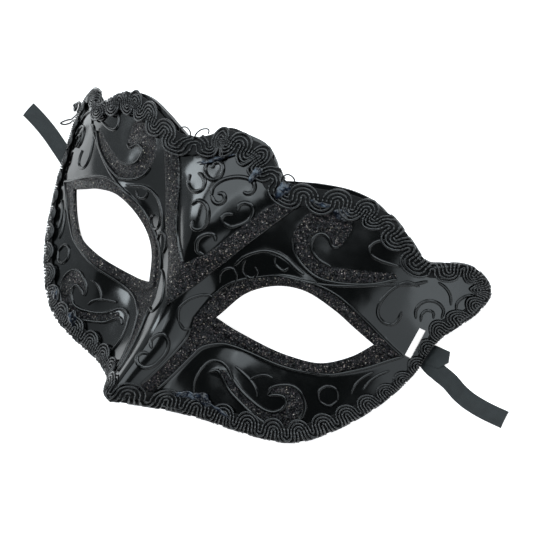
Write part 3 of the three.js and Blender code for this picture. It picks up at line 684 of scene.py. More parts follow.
# Lines that both halves have: half the line's width, then the places it runs through. Some follow
# the edge of a field.
PAIRED_LINES = {
    "lid arch": (0.65, BROW_SWELL[1:9]),
    "arch hook": (0.55, [
        (19.3, 25), (18.8, 22.6), (19.5, 20.4), (21.7, 19.6), (23.6, 20.8), (23.9, 23.1), (22.7, 24),
    ]),
    "arch curl": (0.55, [(28.7, 30.2), (29, 28.2), (30.8, 27.2), (33.2, 27.1), (34.3, 28.7)]),
    "corner loop": (0.55, [
        (12.8, 13.8), (12.2, 16.5), (13.1, 18.7), (15.2, 20.3), (17, 19.7), (17.7, 17.5), (17.3, 14.4),
    ]),
    "temple hook": (0.6, [
        (62.4, 49.9), (59.8, 49.8), (57.3, 48.3), (56.2, 46), (57.1, 43.9), (59.8, 43), (63.1, 43),
        (66.8, 43.3),
    ]),
    "wing loop": (0.6, [
        (73.8, 39.6), (70.3, 39.5), (67.7, 36.5), (66, 32.4), (65.5, 28.5), (66.4, 25.7), (68.7, 24.2),
        (71.1, 24.6), (72.2, 26.9), (72.2, 29.8),
    ]),
    "wing spiral": (0.55, [
        (76.5, 29.3), (75.6, 31.8), (76.1, 34.6), (77.8, 36.4), (80.3, 36.5), (82.2, 34.9), (82.6, 32.2),
    ]),
    "spiral heart": (0.5, [(78, 28.9), (77.5, 31.2), (78.3, 33.1), (80, 33.1), (80.7, 31.3)]),
    "wing arc": (0.5, [(77.8, 43), (80, 42.2), (82, 40.3), (83.3, 37.3)]),
    "tip arc": (0.5, [(85.1, 36.3), (84.5, 38.5), (85.3, 41.1), (86.9, 42.6), (89, 42.1)]),
    "temple slash": (0.5, [(67.1, -2.5), (67.1, 0.9), (68.2, 3.9), (70.5, 7.2)]),
    "second slash": (0.5, [(69.9, 0.3), (70.6, 3.6), (72.1, 6.5), (74.8, 9.6)]),
    "cheek ring": (0.5, [
        (64.1, -6.1), (62.4, -3.2), (59.2, -3.2), (57.5, -6.1), (59.2, -9), (62.4, -9), (64.1, -6.3),
    ]),
    "corner arc": (0.55, [
        (5.4, -4.1), (4.5, -2.3), (3.9, 0.1), (4.8, 3.1), (6.8, 5.9), (9.8, 8), (12, 8.3),
    ]),
    "corner hook": (0.55, [(5.4, -4.1), (7.5, -5.7), (9.3, -4.9)]),
    "cheek fork": (0.55, [(33.8, -12.7), (36, -10.2), (38.9, -8.5), (41.7, -8.3)]),
    "cheek stem": (0.55, [(27.1, -10.5), (30.7, -11.4), (34.6, -12.7), (37.6, -14.6), (38.9, -16.6)]),
    "under line": (0.6, [
        (39.7, 26.6), (44.9, 27.6), (51.1, 29.6), (58.4, 32.9), (65.2, 36.4), (71.8, 39.4), (75.2, 42.1),
    ]),
    "upper lid line": (0.5, EYE_FIELD[0:15]),
    "lower lid line": (0.55, EYE_FIELD[14:31]),
    "nose line": (0.5, EYE_FIELD[33:39]),
    "comma line": (0.6, COMMA_FIELD[0:8]),
    "comma heart": (0.6, COMMA_FIELD[15:24]),
    "cheek head": (0.6, [
        (20.4, -27.4), (18.6, -24.6), (17.2, -20.7), (17.3, -16.2), (18.7, -12.5), (21.4, -11.2),
        (24.7, -12.0), (28.3, -14.8),
    ]),
    "cheek inner": (0.6, CHEEK_FIELD[3:13]),
    "cheek outer": (0.55, [(20.0, -15.9), (22.0, -14.4), (24.4, -15.6)] + CHEEK_FIELD[24:19:-1]),
    "cheek ball": (0.6, [(44.0, -23.6)] + CHEEK_FIELD[20:12:-1] + [(42.0, -14.5)]),
}
# Half the width, and the height of the line's top over the face. The paired lines are made an
# eighth fuller than their own widths.
CROWN_LINE = (0.92, 0.75)
NOSE_LINE = (0.8, 0.65)
PAIRED_FULLER = 1.12
PAIRED_TOP = 0.58
# The steps from place to place of a line, the distance between its final points, and the stretch
# over which each end thins, down to a share of its width.
SCROLL_FINE = 12
SCROLL_STEP = 0.6
THIN_STRETCH = 1.6
THIN_END = 0.45


def round_curve(name):
    """A curve with a round section: the radius of each point is in millimetres."""
    curve = bpy.data.curves.new(name, "CURVE")
    curve.dimensions = "3D"
    curve.bevel_depth = MM
    curve.bevel_resolution = 2
    curve.use_fill_caps = True
    return curve


def add_strand(curve, places, radii):
    """Adds one strand to a round curve, through places in metres."""
    spline = curve.splines.new("POLY")
    spline.points.add(len(places) - 1)
    for point, where, radius in zip(spline.points, places, radii):
        point.co = (*where, 1)
        point.radius = radius


def curve_piece(curve):
    """The mesh of a curve, as a finished piece with the curve's name."""
    piece = bpy.data.objects.new(curve.name, curve)
    bpy.context.scene.collection.objects.link(piece)
    only(piece)
    bpy.ops.object.convert(target="MESH")
    settle(piece)
    shade(piece)
    return piece


scroll_curve = round_curve("scrollwork")


def draw_scroll(line, half, top):
    """Adds one raised line, half a width round its middle and thin at both ends."""
    run = run_of(line)
    t = np.linspace(0, 1, max(8, int(run[-1] / SCROLL_STEP)))
    places = along(line, t)
    taper = np.clip(np.minimum(t, 1 - t) * run[-1] / THIN_STRETCH, 0, 1)
    width = half * (THIN_END + (1 - THIN_END) * np.sqrt(taper))
    add_strand(scroll_curve, at_rest(on_face(places[:, 0], places[:, 1], top - width)), width)


for points in CROWN_LINES.values():
    draw_scroll(smooth_line(points, SCROLL_FINE), *CROWN_LINE)
for points in NOSE_LINES.values():
    draw_scroll(smooth_line(points, SCROLL_FINE), *NOSE_LINE)
for half, points in PAIRED_LINES.values():
    for side in (1, -1):
        draw_scroll(smooth_line(points, SCROLL_FINE) * (side, 1), half * PAIRED_FULLER, PAIRED_TOP)
scrolls = curve_piece(scroll_curve)


def plain_plastic():
    """The same moulded polystyrene where no glitter lies, so the lines read by their highlights."""
    material = new_material("polystyrene_moulded")
    place = node(material, "TexCoord").outputs["Object"]
    smudge = node(material, "TexNoise", Vector=place, Scale=260.0, Detail=3.0, Roughness=0.6)
    rough = node(material, "MapRange", Value=smudge.outputs["Fac"], To_Min=0.16, To_Max=0.3)
    shader = node(
        material, "BsdfPrincipled", Base_Color=linear("#040505"), Roughness=rough.outputs[0], IOR=1.55,
    )
    node(material, "OutputMaterial", Surface=shader.outputs[0])
    return material


scrolls.data.materials.append(plain_plastic())
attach(scrolls, "root")

# THE BRAID
# Gimp braid: four rayon cords side by side in a close serpent, bound by threads that run
# lengthwise and glued round the rim. It is stretched over the brows and drawn together round the
# wings and temples, where its outer part is folded down over the edge.
BRAID_PITCH = 9.4
CORD_GAP = 1.15
CORD_RADIUS = 0.44
# The cords' middle and the underside of the braid, over the face.
CORD_LIFT = 1.05
BRAID_GAP = 0.45
# How far the serpent swings to each side.
SWING = 2.7
# From one binding thread to the next, from one turn of rayon round a cord to the next, and how far
# a turn runs along the cord.
BINDING = 1.2
WINDING = 0.5
WINDING_SLANT = 1.2
# The braid folds down this far inside the rim, round this radius.
FOLD_FROM = 0.2
FOLD_RADIUS = 0.4
# The cords spread wider than the strip they are bound to, within these limits.
CORDS_OVER = 1.6
NARROWEST = 6.4
WIDEST = 9.2
# Bumps in the braid's way: how much, how far along from the crown or from the tip, root or brow,
# over what distance, and how steeply each ends. The braid lies further in at the crown, at the left
# wing tip and beside the left slot, is spread at the crown and is stretched round the brow.
CROWN_IN = (2.5, 7.0, 12.0, 4)
TIP_IN = (1.2, 0.0, 5.0, 2)
SLOT_IN = (1.7, -5.5, 5.0, 2)
CROWN_SPREAD = (0.09, 8.0, 12.0, 4)
BROW_STRETCH = (0.26, 0.0, 16.0, 4)
WAVE_STEPS = 48
CORD_SIDES = 8
# The least height of the braid and the glue over the table, in metres.
TABLE_GAP = 0.0002
# On the wearer's right the braid cuts across the wing, inside its tip.
SHORT_CUT = {"wing shoulder": (0.92, 0.775), "wing tip": (0.967, 0.712), "wing under": (0.974, 0.592)}


def serpent():
    """One wave of the braid's middle, from an outer crest to the next: along, across and heading."""
    bend = BRAID_PITCH / 4
    quarter = bend * math.pi / 2
    leg = 2 * (SWING - bend)
    marks = np.cumsum([0, quarter, leg, quarter, quarter, leg, quarter])
    run = (np.arange(WAVE_STEPS) + 0.5) / WAVE_STEPS * marks[-1]
    heading = np.interp(run, marks, np.radians([0, 90, 90, 0, -90, -90, 0]))
    step = marks[-1] / WAVE_STEPS
    ahead = np.cumsum(np.cos(heading)) * step - 0.5 * step * np.cos(heading)
    aside = np.cumsum(np.sin(heading)) * step - 0.5 * step * np.sin(heading)
    return ahead * BRAID_PITCH / ahead[-1] * (1 - 0.5 / WAVE_STEPS), aside - SWING, heading


def bump(at, much, middle, reach, power):
    """So much at the middle, falling to nothing beyond the reach."""
    return much * np.exp(-(((at - middle) / reach) ** power))


# The way the braid runs at a place is taken from these shares of its length round it, and the slope
# across it over this many millimetres.
HEADING_AT = (-0.012, -0.006, 0, 0.006, 0.012)
HEADING_SPAN = 0.004
ACROSS_SPAN = 0.3


class HalfBraid:
    """The braid's way round one half: how wide and how drawn together it lies at each place."""

    def __init__(self, side):
        self.side = side
        cut = SHORT_CUT if side < 0 else {}
        places = [cut.get(name, row[:2]) for name, row in RIM.items()]
        self.line = smooth_line([(HALF_WIDTH * a, height(b)) for a, b in places])
        run = run_of(self.line)
        self.length = run[-1]
        stations = run[::FINE]
        named = dict(zip(RIM, stations))
        self.at = np.linspace(0, run[-1], 2001)
        shares = station_shares(stations / run[-1], self.at / run[-1])
        width = BRAID_WIDTH * (shares @ rim_braid)
        self.inner = width + BRAID_WIDTH * (shares @ rim_inset)
        self.inner += bump(self.at, *CROWN_IN)
        if side > 0:
            self.inner += bump(self.at - named["wing tip"], *TIP_IN)
            self.inner += bump(self.at - named["wing root"], *SLOT_IN)
        self.drawn = np.clip(width + CORDS_OVER, NARROWEST, WIDEST) / BRAID_WIDTH
        self.drawn += bump(self.at, *CROWN_SPREAD)
        stretch = self.drawn * (1 + bump(self.at - named["brow"], *BROW_STRETCH))
        rate = 2 / BRAID_PITCH / (stretch[1:] + stretch[:-1])
        self.phase = np.concatenate([[0], np.cumsum(np.diff(self.at) * rate)])
        self.waves = int(round(self.phase[-1]))
        self.phase *= self.waves / self.phase[-1]

    def place(self, ahead, aside, lift):
        """A place on the braid: along it, across from its middle, and over the face."""
        at = np.interp(ahead / BRAID_PITCH, self.phase, self.at)
        size = np.interp(at, self.at, self.drawn)
        share = at / self.length
        reach = np.interp(at, self.at, self.inner) - BRAID_WIDTH * size / 2 + aside * size
        slope = 0
        for d in HEADING_AT:
            slope = slope + along(self.line, share + d + HEADING_SPAN)
            slope = slope - along(self.line, share + d - HEADING_SPAN)
        slope /= np.linalg.norm(slope, axis=1)[:, None]
        ends = (share < HEADING_SPAN) | (share > 1 - HEADING_SPAN)
        slope[ends] = np.where(share[ends, None] < 0.5, (1.0, 0.0), (-1.0, 0.0))
        inward = np.stack([slope[:, 1], -slope[:, 0]], -1)
        flat = along(self.line, share) + inward * np.maximum(reach, FOLD_FROM)[:, None]
        base = on_face(flat[:, 0], flat[:, 1], 0.0)
        out = facing(flat[:, 0], flat[:, 1])
        near = flat + inward * ACROSS_SPAN
        level = base - on_face(near[:, 0], near[:, 1], 0.0)
        level -= out * np.sum(level * out, axis=1)[:, None]
        level /= np.linalg.norm(level, axis=1)[:, None]
        over = np.maximum(FOLD_FROM - reach, 0)
        bend = np.minimum(over / FOLD_RADIUS, math.pi / 2)[:, None]
        down = (over - bend[:, 0] * FOLD_RADIUS)[:, None]
        arm = FOLD_RADIUS + np.reshape(lift, (-1, 1)) - BRAID_GAP
        pivot = base + out * (BRAID_GAP - FOLD_RADIUS - down)
        return (pivot + arm * (out * np.cos(bend) + level * np.sin(bend))) * (self.side, 1, 1)


halves = [HalfBraid(1), HalfBraid(-1)]
wave_ahead, wave_aside, wave_heading = serpent()
points, faces, weft, twist = [], [], [], []
# Each cord is one closed loop: down the left half, and back up the right one.
for lane in (-1.5, -0.5, 0.5, 1.5):
    offset = lane * CORD_GAP
    loop, under, across_all, size = [], [], [], []
    for half in halves:
        ahead = np.concatenate([wave_ahead + k * BRAID_PITCH for k in range(half.waves)])
        heading = np.tile(wave_heading, half.waves)
        s = ahead - offset * np.sin(heading)
        w = np.tile(wave_aside, half.waves) + offset * np.cos(heading)
        way = slice(None) if half.side > 0 else slice(None, None, -1)
        loop.append(half.place(s, w, np.full(len(s), CORD_LIFT))[way])
        under.append(half.place(s, w, np.full(len(s), CORD_LIFT - CORD_RADIUS / 2))[way])
        across_all.append(w[way])
        size.append(np.interp(s / BRAID_PITCH, half.phase, half.drawn)[way])
    loop = np.vstack(loop)
    out = loop - np.vstack(under)
    out /= np.linalg.norm(out, axis=1)[:, None]
    tangent = np.roll(loop, -1, axis=0) - np.roll(loop, 1, axis=0)
    tangent /= np.linalg.norm(tangent, axis=1)[:, None]
    side_way = np.cross(tangent, out)
    side_way /= np.linalg.norm(side_way, axis=1)[:, None]
    size = np.concatenate(size)[:, None] * CORD_RADIUS
    run = run_of(loop)
    start = sum(len(p) for p in points)
    for k in range(CORD_SIDES):
        angle = 2 * math.pi * k / CORD_SIDES
        spoke = side_way * math.cos(angle) + np.cross(side_way, tangent) * math.sin(angle)
        points.append(loop + size * spoke)
        weft.append(np.concatenate(across_all))
        twist.append(run + k / CORD_SIDES * WINDING_SLANT)
    n = len(loop)
    for k in range(CORD_SIDES):
        a = start + k * n
        b = start + ((k + 1) % CORD_SIDES) * n
        faces.extend((a + i, a + (i + 1) % n, b + (i + 1) % n, b + i) for i in range(n))
solid = at_rest(np.vstack(points))
solid[:, 2] = np.maximum(solid[:, 2], TABLE_GAP)
cords = new_object("gimp_cords", solid, faces)
store(cords, "weft", np.concatenate(weft))
store(cords, "twist", np.concatenate(twist))
face_out(cords)
settle(cords)
shade(cords)


def rayon_cord():
    """Rayon wound round a cotton core: black with a silky sheen. The binding threads cross the legs
    of each wave and pinch the cords into beads there, and the winding shows as a fine slant."""
    material = new_material("rayon_gimp_cord")
    weft = node(material, "Attribute", {"attribute_name": "weft"}).outputs["Fac"]
    twist = node(material, "Attribute", {"attribute_name": "twist"}).outputs["Fac"]
    cross = node(material, "Math", {"operation": "MULTIPLY"}, _0=weft, _1=2 * math.pi / BINDING)
    bead = node(material, "Math", {"operation": "COSINE"}, _0=cross.outputs[0])
    reach = node(material, "Math", {"operation": "ABSOLUTE"}, _0=weft)
    legs = node(
        material, "MapRange", Value=reach.outputs[0], From_Min=1.2, From_Max=2.6, To_Min=1.0, To_Max=0.0,
    )
    pinch = node(material, "Math", {"operation": "MULTIPLY"}, _0=bead.outputs[0], _1=legs.outputs[0])
    wind = node(material, "Math", {"operation": "MULTIPLY"}, _0=twist, _1=2 * math.pi / WINDING)
    slant = node(material, "Math", {"operation": "SINE"}, _0=wind.outputs[0])
    relief = node(
        material, "Math", {"operation": "MULTIPLY_ADD"}, _0=slant.outputs[0], _1=0.12, _2=pinch.outputs[0],
    )
    raised = node(material, "Bump", Strength=0.8, Distance=0.0002, Height=relief.outputs[0])
    # Painted shade: the cord's colour is a little darker in the pinched grooves between the beads, where
    # shade falls.
    groove_shade = node(
        material, "MapRange", Value=pinch.outputs[0], From_Min=-1.0, From_Max=0.1, To_Min=0.0, To_Max=1.0,
    )
    blacks = [(0.0, "#010102"), (1.0, "#07080a")]
    colour = node(material, "ValToRGB", stops=blacks, Fac=groove_shade.outputs[0])
    shader = node(
        material, "BsdfPrincipled", Base_Color=colour.outputs[0], Roughness=0.22, Normal=raised.outputs[0],
        Specular_IOR_Level=0.75, Sheen_Weight=0.03, Sheen_Roughness=0.3, Sheen_Tint=linear("#8f969c"),
    )
    node(material, "OutputMaterial", Surface=shader.outputs[0])
    return material


cords.data.materials.append(rayon_cord())
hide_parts("edge_braid")
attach(cords, "root")

# The ground of the braid: a thin strip of binding threads and glue under the cords, three quarters
# as wide. Its section: across from the braid's middle, outwards first, and over the face.
GROUND_PROFILE = [(-3.8, 0.45), (-3.6, 1.1), (-2.6, 1.1), (2.5, 0.85), (2.7, 0.45), (0.0, 0.45)]
GROUND_STEPS = 6
columns = []
for at, level in GROUND_PROFILE:
    column = []
    for half in halves:
        s = np.linspace(0, half.waves * BRAID_PITCH, half.waves * GROUND_STEPS + 1)
        places = half.place(s, np.full(len(s), at), np.full(len(s), level))
        places[[0, -1], 0] = 0
        column.append(places if half.side > 0 else places[1:-1][::-1])
    columns.append(np.vstack(column))
n = len(columns[0])
faces = []
for k in range(len(columns)):
    a = k * n
    b = (k + 1) % len(columns) * n
    faces.extend((a + i, a + (i + 1) % n, b + (i + 1) % n, b + i) for i in range(n))
solid = at_rest(np.vstack(columns))
solid[:, 2] = np.maximum(solid[:, 2], TABLE_GAP)
ground = new_object("gimp_ground", solid, faces)
face_out(ground)
settle(ground)
shade(ground, 45)


def woven_ground():
    """Matt black cotton, woven close. Only specks of it show between the cords."""
    material = new_material("cotton_braid_ground")
    place = node(material, "TexCoord").outputs["Object"]
    # Threads about half a millimetre thick.
    weave = node(material, "TexNoise", Vector=place, Scale=1800.0, Detail=2.0)
    # The cotton's tone follows the same noise as its bump, so it is darker where the weave lies low: partly
    # its own uneven tone, partly painted shade in the hollows.
    blacks = [(0.3, "#030303"), (0.75, "#0d0d0e")]
    colour = node(material, "ValToRGB", stops=blacks, Fac=weave.outputs["Fac"])
    raised = node(material, "Bump", Strength=0.8, Distance=0.0002, Height=weave.outputs["Fac"])
    shader = node(
        material, "BsdfPrincipled", Base_Color=colour.outputs[0], Roughness=0.85, Normal=raised.outputs[0],
    )
    node(material, "OutputMaterial", Surface=shader.outputs[0])
    return material


ground.data.materials.append(woven_ground())
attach(ground, "root")

# THE BRAID'S LOOSE LOOPS
# Where the braid bends sharply a cord stands away from it in a loop, and at the wearer's right wing
# tip the braid's end is curled up into a knob. Columns: the cord's radius, then places across and
# up the face and over it.
LOOSE_LOOPS = {
    "right of the crown": (0.24, [
        (-24.6, 55.2, 1.3), (-23.9, 57.2, 1.9), (-22.3, 58.0, 2.1), (-20.7, 57.0, 1.9), (-20.2, 54.6, 1.3),
    ]),
    "crown shoulder": (0.24, [
        (-18.8, 54.6, 1.3), (-18.6, 57.5, 1.9), (-17.2, 59.6, 2.1), (-15.2, 60.2, 1.9), (-14.6, 58.4, 1.3),
    ]),
    "crown valley": (0.26, [
        (20.6, 54.4, 1.3), (21.6, 56.8, 1.9), (23.4, 57.7, 2.1), (25.2, 57.2, 1.9), (25.9, 55.4, 1.3),
    ]),
    "right wing": (0.3, [
        (-88.6, 38.0, 1.0), (-91.2, 35.6, 0.9), (-93.8, 33.2, 0.8), (-95.0, 31.4, 0.7), (-93.2, 32.0, 0.8),
        (-90.4, 34.6, 0.9), (-88.0, 36.2, 1.0),
    ]),
}
LOOP_FINE = 10
# The knob winds inwards and up round its middle.
KNOB_AT = (-90.6, 40.2)
KNOB_TURN = (-30, 560)
KNOB_REACH = (2.3, 0.5)
KNOB_LIFT = (0.9, 2.4)
KNOB_STEPS = 60
KNOB_RADIUS = 0.55
loop_curve = round_curve("loose_loops")


def draw_loop(line, radius):
    """Adds one cord through places over the face, kept off the table."""
    solid = at_rest(on_face(line[:, 0], line[:, 1], line[:, 2]))
    solid[:, 2] = np.maximum(solid[:, 2], radius * MM + TABLE_GAP / 2)
    add_strand(loop_curve, solid, [radius] * len(solid))


for radius, points in LOOSE_LOOPS.values():
    draw_loop(smooth_line(points, LOOP_FINE), radius)
knob_turn = np.radians(np.linspace(*KNOB_TURN, KNOB_STEPS))
knob_reach = np.linspace(*KNOB_REACH, KNOB_STEPS)
knob_x = KNOB_AT[0] + knob_reach * np.cos(knob_turn)
knob_y = KNOB_AT[1] + knob_reach * np.sin(knob_turn)
draw_loop(np.stack([knob_x, knob_y, np.linspace(*KNOB_LIFT, KNOB_STEPS)], -1), KNOB_RADIUS)
loops = curve_piece(loop_curve)
loops.data.materials.append(cords.data.materials[0])
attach(loops, "root")

# THE GLUE
# Hot-melt glue that has come out beside the braid: thin cloudy films with lumpy, wet-looking tops.
# Columns: place across and up, length, width, direction in degrees, height over the face. Each is a
# ball pressed flat, its edge and top made uneven by a few waves that differ from film to film.
GLUE = {
    "crown line": (-6.0, 51.4, 14.0, 1.7, 33, 0.8),
    "crown side": (10.4, 52.4, 6.0, 3.0, 75, 1.5),
    "crown valley": (22.6, 52.0, 7.0, 4.0, 60, 1.5),
    "brow first": (36.6, 53.0, 7.0, 1.6, 5, 1.7),
    "brow second": (44.2, 52.6, 5.2, 4.4, 40, 1.0),
    "right cheek": (-55.6, -19.6, 5.2, 3.4, -40, 1.4),
    "right cheek foot": (-42.5, -23.4, 5.4, 4.6, -50, 1.4),
    "left cheek foot": (16.6, -25.6, 7.0, 2.4, 12, 1.4),
    "left cheek": (21.8, -25.0, 7.0, 3.6, -10, 1.3),
    "left cheek line": (29.0, -26.4, 10.0, 1.3, -12, 1.4),
}
GLUE_THICK = 0.7
bpy.ops.object.select_all(action="DESELECT")
bpy.ops.mesh.primitive_uv_sphere_add(segments=28, ring_count=14, radius=0.5)
drop = bpy.context.object
ball = np.array([v.co[:] for v in drop.data.vertices])
ball_faces = [tuple(f.vertices) for f in drop.data.polygons]
bpy.data.objects.remove(drop)
points, faces = [], []
for x, y, long, wide, heading, level in GLUE.values():
    way = math.radians(heading)
    angle = np.arctan2(ball[:, 1], ball[:, 0])
    ragged = 1 + 0.16 * np.sin(3 * angle + x) + 0.1 * np.sin(5 * angle + y)
    a = ball[:, 0] * long * ragged
    b = ball[:, 1] * wide * ragged
    bumps = 0.12 * np.sin(2.1 * a + x) * np.cos(2.6 * b + y)
    lift = level + ball[:, 2] * GLUE_THICK + np.where(ball[:, 2] > 0, bumps, 0)
    start = sum(len(p) for p in points)
    px = x + a * math.cos(way) - b * math.sin(way)
    py = y + a * math.sin(way) + b * math.cos(way)
    points.append(at_rest(on_face(px, py, lift)))
    faces.extend(tuple(start + i for i in f) for f in ball_faces)
solid = np.vstack(points)
solid[:, 2] = np.maximum(solid[:, 2], TABLE_GAP)
glue = new_object("glue", solid, faces)
face_out(glue)
settle(glue)
shade(glue)


def hot_melt():
    """Hot-melt glue: a wet-looking film, nearly black over the cords and cloudy blue-grey where it is
    thicker, with lumps 2 to 3 mm wide that catch points of light."""
    material = new_material("hot_melt_glue")
    place = node(material, "TexCoord").outputs["Object"]
    cloud = node(material, "TexNoise", Vector=place, Scale=420.0, Detail=2.0, Roughness=0.5)
    blues = [(0.42, "#06080f"), (0.55, "#151b27"), (0.68, "#46525f")]
    colour = node(material, "ValToRGB", stops=blues, Fac=cloud.outputs["Fac"])
    raised = node(material, "Bump", Strength=0.7, Distance=0.001, Height=cloud.outputs["Fac"])
    shader = node(
        material, "BsdfPrincipled", Base_Color=colour.outputs[0], Roughness=0.14, Normal=raised.outputs[0],
    )
    node(material, "OutputMaterial", Surface=shader.outputs[0])
    return material


glue.data.materials.append(hot_melt())
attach(glue, "root")

# THE RIBBONS
# Two black satin ribbons, 6 mm wide, fixed behind the temples. Each comes out from under the edge
# of the shell, lies flat and loose on the table and is cut off square.
RIBBON_WIDTH = 6.0
RIBBON_THICK = 0.35
# How much higher the middle lies than the edges, how far the lower face stays over the table, and
# the mesh's steps along and columns across.
RIBBON_HUMP = 0.25
RIBBON_CLEAR = 0.02
RIBBON_FINE = 8
RIBBON_STEP = 0.7
RIBBON_COLUMNS = 9
# The routes of the ribbons' middles on the table: across, back and up, in millimetres.
RIBBON_LEFT = [
    (79.9, 14.2, 2.0), (81.2, 13.2, 0.85), (82.6, 12.3, 0.4), (84.3, 11.5, 0.4), (86.0, 10.9, 0.4),
    (88.0, 10.5, 0.4), (90.0, 10.1, 0.4), (92.3, 9.7, 0.4), (94.5, 9.2, 0.4), (96.8, 8.4, 0.4),
    (99.0, 7.6, 0.4), (101.5, 6.95, 0.4), (104.0, 6.5, 0.4), (107.5, 6.2, 0.4), (111.0, 6.1, 0.4),
    (114.8, 6.2, 0.4), (118.6, 6.4, 0.4),
]
RIBBON_RIGHT = [
    (-77.0, 13.8, 2.4), (-79.0, 14.6, 1.7), (-80.8, 15.3, 0.8), (-82.8, 16.2, 0.4), (-85.4, 17.4, 0.4),
    (-88.0, 18.6, 0.4), (-90.5, 19.7, 0.4), (-93.0, 20.8, 0.4), (-95.5, 21.9, 0.4), (-98.2, 23.0, 0.4),
    (-101.0, 24.0, 0.4), (-103.5, 24.85, 0.4), (-106.0, 25.6, 0.4), (-108.6, 26.35, 0.4),
    (-111.2, 27.0, 0.4),
]


def satin():
    """Polyester satin: long floats give a dull grey sheen over black. Its pattern follows the map of
    the ribbon in millimetres, along and across."""
    material = new_material("polyester_satin_ribbon")
    uv = node(material, "UVMap", {"uv_map": "UVMap"}).outputs[0]
    # Ribs across the ribbon, a tenth of a millimetre apart, and cloudy patches 3 mm wide.
    weave = node(
        material, "TexWave", {"bands_direction": "X"}, Vector=uv, Scale=3.2, Distortion=0.6, Detail=1.0,
    )
    patches = node(material, "TexNoise", Vector=uv, Scale=0.35, Detail=2.0)
    greys = [(0.3, "#181c1d"), (0.7, "#222728")]
    colour = node(material, "ValToRGB", stops=greys, Fac=patches.outputs["Fac"])
    raised = node(material, "Bump", Strength=0.35, Distance=0.0001, Height=weave.outputs["Fac"])
    shader = node(
        material, "BsdfPrincipled", Base_Color=colour.outputs[0], Roughness=0.5, Normal=raised.outputs[0],
        Sheen_Weight=0.27, Sheen_Roughness=0.4, Sheen_Tint=linear("#9aa3a6"),
    )
    node(material, "OutputMaterial", Surface=shader.outputs[0])
    return material


ribbon_satin = satin()


def lay_ribbon(name, route):
    """A flat strip along its route, its width level and its middle raised a little."""
    line = smooth_line(route, RIBBON_FINE)
    run = run_of(line)
    count = int(run[-1] / RIBBON_STEP)
    t = np.linspace(0, 1, count + 1)
    middle = along(line, t)
    slope = np.gradient(middle, axis=0)
    side_way = np.stack([-slope[:, 1], slope[:, 0], 0 * slope[:, 0]], -1)
    side_way /= np.linalg.norm(side_way, axis=1)[:, None]
    columns = np.linspace(-1, 1, RIBBON_COLUMNS)
    points = []
    for row, way_across in zip(middle, side_way):
        for c in columns:
            hump = RIBBON_HUMP * (1 - c * c)
            points.append(row + way_across * c * RIBBON_WIDTH / 2 + (0, 0, hump))
    points = np.array(points)
    points[:, 2] = np.maximum(points[:, 2], RIBBON_THICK / 2 + RIBBON_CLEAR)
    faces = []
    for i in range(count):
        for k in range(RIBBON_COLUMNS - 1):
            a = i * RIBBON_COLUMNS + k
            faces.append((a, a + RIBBON_COLUMNS, a + RIBBON_COLUMNS + 1, a + 1))
    strip = new_object(name, points * MM, faces)
    layer = strip.data.uv_layers.new(name="UVMap")
    for loop in strip.data.loops:
        i, k = divmod(loop.vertex_index, RIBBON_COLUMNS)
        layer.data[loop.index].uv = (t[i] * run[-1], (columns[k] + 1) * RIBBON_WIDTH / 2)
    face_up(strip)
    apply_modifier(strip, "SOLIDIFY", thickness=RIBBON_THICK * MM, offset=0)
    shade(strip, 40)
    strip.data.materials.append(ribbon_satin)
    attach(strip, "root")
    return strip


left = lay_ribbon("ribbon_strip_left", RIBBON_LEFT)
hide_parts("ribbon_left")
right = lay_ribbon("ribbon_strip_right", RIBBON_RIGHT)
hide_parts("ribbon_right")

# The left ribbon's end is folded back over itself beside the mask, in a short flat tab: its corners
# on the table and its bulging middle.
TAB = [
    (80.6, 17.2, 1.0), (83.7, 17.8, 1.3), (89.4, 18.1, 1.15), (90.8, 14.6, 1.0), (88.5, 11.4, 1.0),
    (83.8, 10.8, 1.1), (80.8, 11.2, 1.0),
]
TAB_MIDDLE = (85.6, 14.6, 1.5)
fan = [(k, (k + 1) % len(TAB), len(TAB)) for k in range(len(TAB))]
tab = new_object("ribbon_tab", np.array(TAB + [TAB_MIDDLE]) * MM, fan)
face_out(tab)
face_up(tab)
apply_modifier(tab, "SUBSURF", levels=2, subdivision_type="SIMPLE")
apply_modifier(tab, "SOLIDIFY", thickness=RIBBON_THICK * MM, offset=-1)
layer = tab.data.uv_layers.new(name="UVMap")
for loop in tab.data.loops:
    co = tab.data.vertices[loop.vertex_index].co
    layer.data[loop.index].uv = (co.x / MM, co.y / MM)
shade(tab, 40)
tab.data.materials.append(ribbon_satin)
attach(tab, "root")

# THE TABLE, THE LIGHT AND THE CAMERA
# A plain white table with soft boxes round it. The camera looks down on the mask from beside the
# wearer's left wing, and is turned in its mount.
bpy.ops.object.select_all(action="DESELECT")
bpy.ops.mesh.primitive_plane_add(size=6)
table_top = bpy.context.object
table_top.name = "table_top"
# White paper that glows a little, as over a light table.
white = new_material("white_paper")
paper = node(white, "TexNoise", Scale=300.0, Detail=2.0)
tone = node(white, "ValToRGB", stops=[(0.3, "#f6f6f6"), (0.7, "#fafafa")], Fac=paper.outputs["Fac"])
shader = node(
    white, "BsdfPrincipled", Base_Color=tone.outputs[0], Roughness=0.9, Emission_Color=linear("#ffffff"),
    Emission_Strength=0.9,
)
node(white, "OutputMaterial", Surface=shader.outputs[0])
table_top.data.materials.append(white)

# The studio's walls are dim, and their light is cool.
WALL_COLOUR = (0.84, 0.94, 1.0, 1.0)
WALL_STRENGTH = 0.05
world = bpy.data.worlds.new("studio")
world.use_nodes = True
world.node_tree.nodes["Background"].inputs["Color"].default_value = WALL_COLOUR
world.node_tree.nodes["Background"].inputs["Strength"].default_value = WALL_STRENGTH
bpy.context.scene.world = world

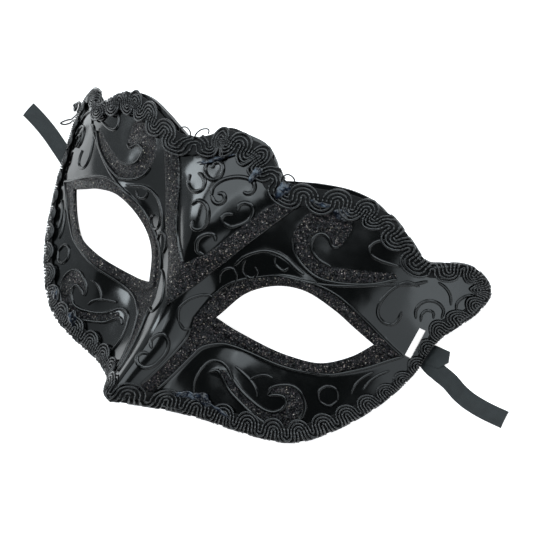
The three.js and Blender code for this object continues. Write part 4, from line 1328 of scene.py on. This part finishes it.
# Columns: the direction round the mask and up from the table in degrees, the distance, width and
# height in metres, and the brightness of the cloth.
SOFT_BOXES = {
    "key_box": (150, 72, 1.3, 1.15, 1.15, 2.5),
    "small_overhead": (-80, 78, 1.4, 0.28, 0.28, 1.5),
    "strip_behind": (-175, 30, 1.6, 0.3, 0.56, 6.0),
    "wall_behind": (180, 20, 1.7, 2.0, 1.3, 0.35),
    "wall_right": (-20, 43, 1.5, 1.9, 0.8, 1.1),
    "window_right": (-14, 38, 1.4, 0.5, 0.4, 1.1),
    "floor_filler": (75, 40, 1.5, 1.0, 0.8, 4.0),
}
BOX_COLOUR = (0.86, 0.95, 1.0)
MASK_MIDDLE = np.array([0, 0, 0.02])


def soft_box(name, azimuth, elevation, distance, wide, tall, radiance):
    """An area light that faces the mask from a direction, as bright as given."""
    light = bpy.data.lights.new(name, "AREA")
    light.shape = "RECTANGLE"
    light.size = wide
    light.size_y = tall
    light.energy = radiance * math.pi * wide * tall
    light.color = BOX_COLOUR
    lamp = bpy.data.objects.new(name, light)
    a, e = math.radians(azimuth), math.radians(elevation)
    direction = np.array([math.cos(a) * math.cos(e), math.sin(a) * math.cos(e), math.sin(e)])
    lamp.location = tuple(direction * distance + MASK_MIDDLE)
    lamp.rotation_euler = Vector(direction).to_track_quat("Z", "Y").to_euler()
    bpy.context.scene.collection.objects.link(lamp)


for name, row in SOFT_BOXES.items():
    soft_box(name, *row)

# Where the camera stands and looks, in millimetres, and which way is right in its picture.
CAMERA_AT = np.array([504.77, -52.39, 831.26])
CAMERA_TO = np.array([22.68, 13.88, 20.0])
CAMERA_RIGHT = np.array([0.7655, 0.492, -0.4147])
camera_data = bpy.data.cameras.new("camera")
camera_data.sensor_width = 36
camera_data.lens = 188.78
camera = bpy.data.objects.new("camera", camera_data)
bpy.context.scene.collection.objects.link(camera)
view = (CAMERA_TO - CAMERA_AT) / np.linalg.norm(CAMERA_TO - CAMERA_AT)
right_way = CAMERA_RIGHT - view * (CAMERA_RIGHT @ view)
right_way /= np.linalg.norm(right_way)
up_way = np.cross(right_way, view)
turn_matrix = Matrix([[right_way[i], up_way[i], -view[i]] for i in range(3)])
camera.matrix_world = Matrix.Translation(CAMERA_AT * MM) @ turn_matrix.to_4x4()
camera_data.clip_start = 0.05
camera_data.clip_end = 20
bpy.context.scene.camera = camera
bpy.context.scene.view_settings.view_transform = "Standard"
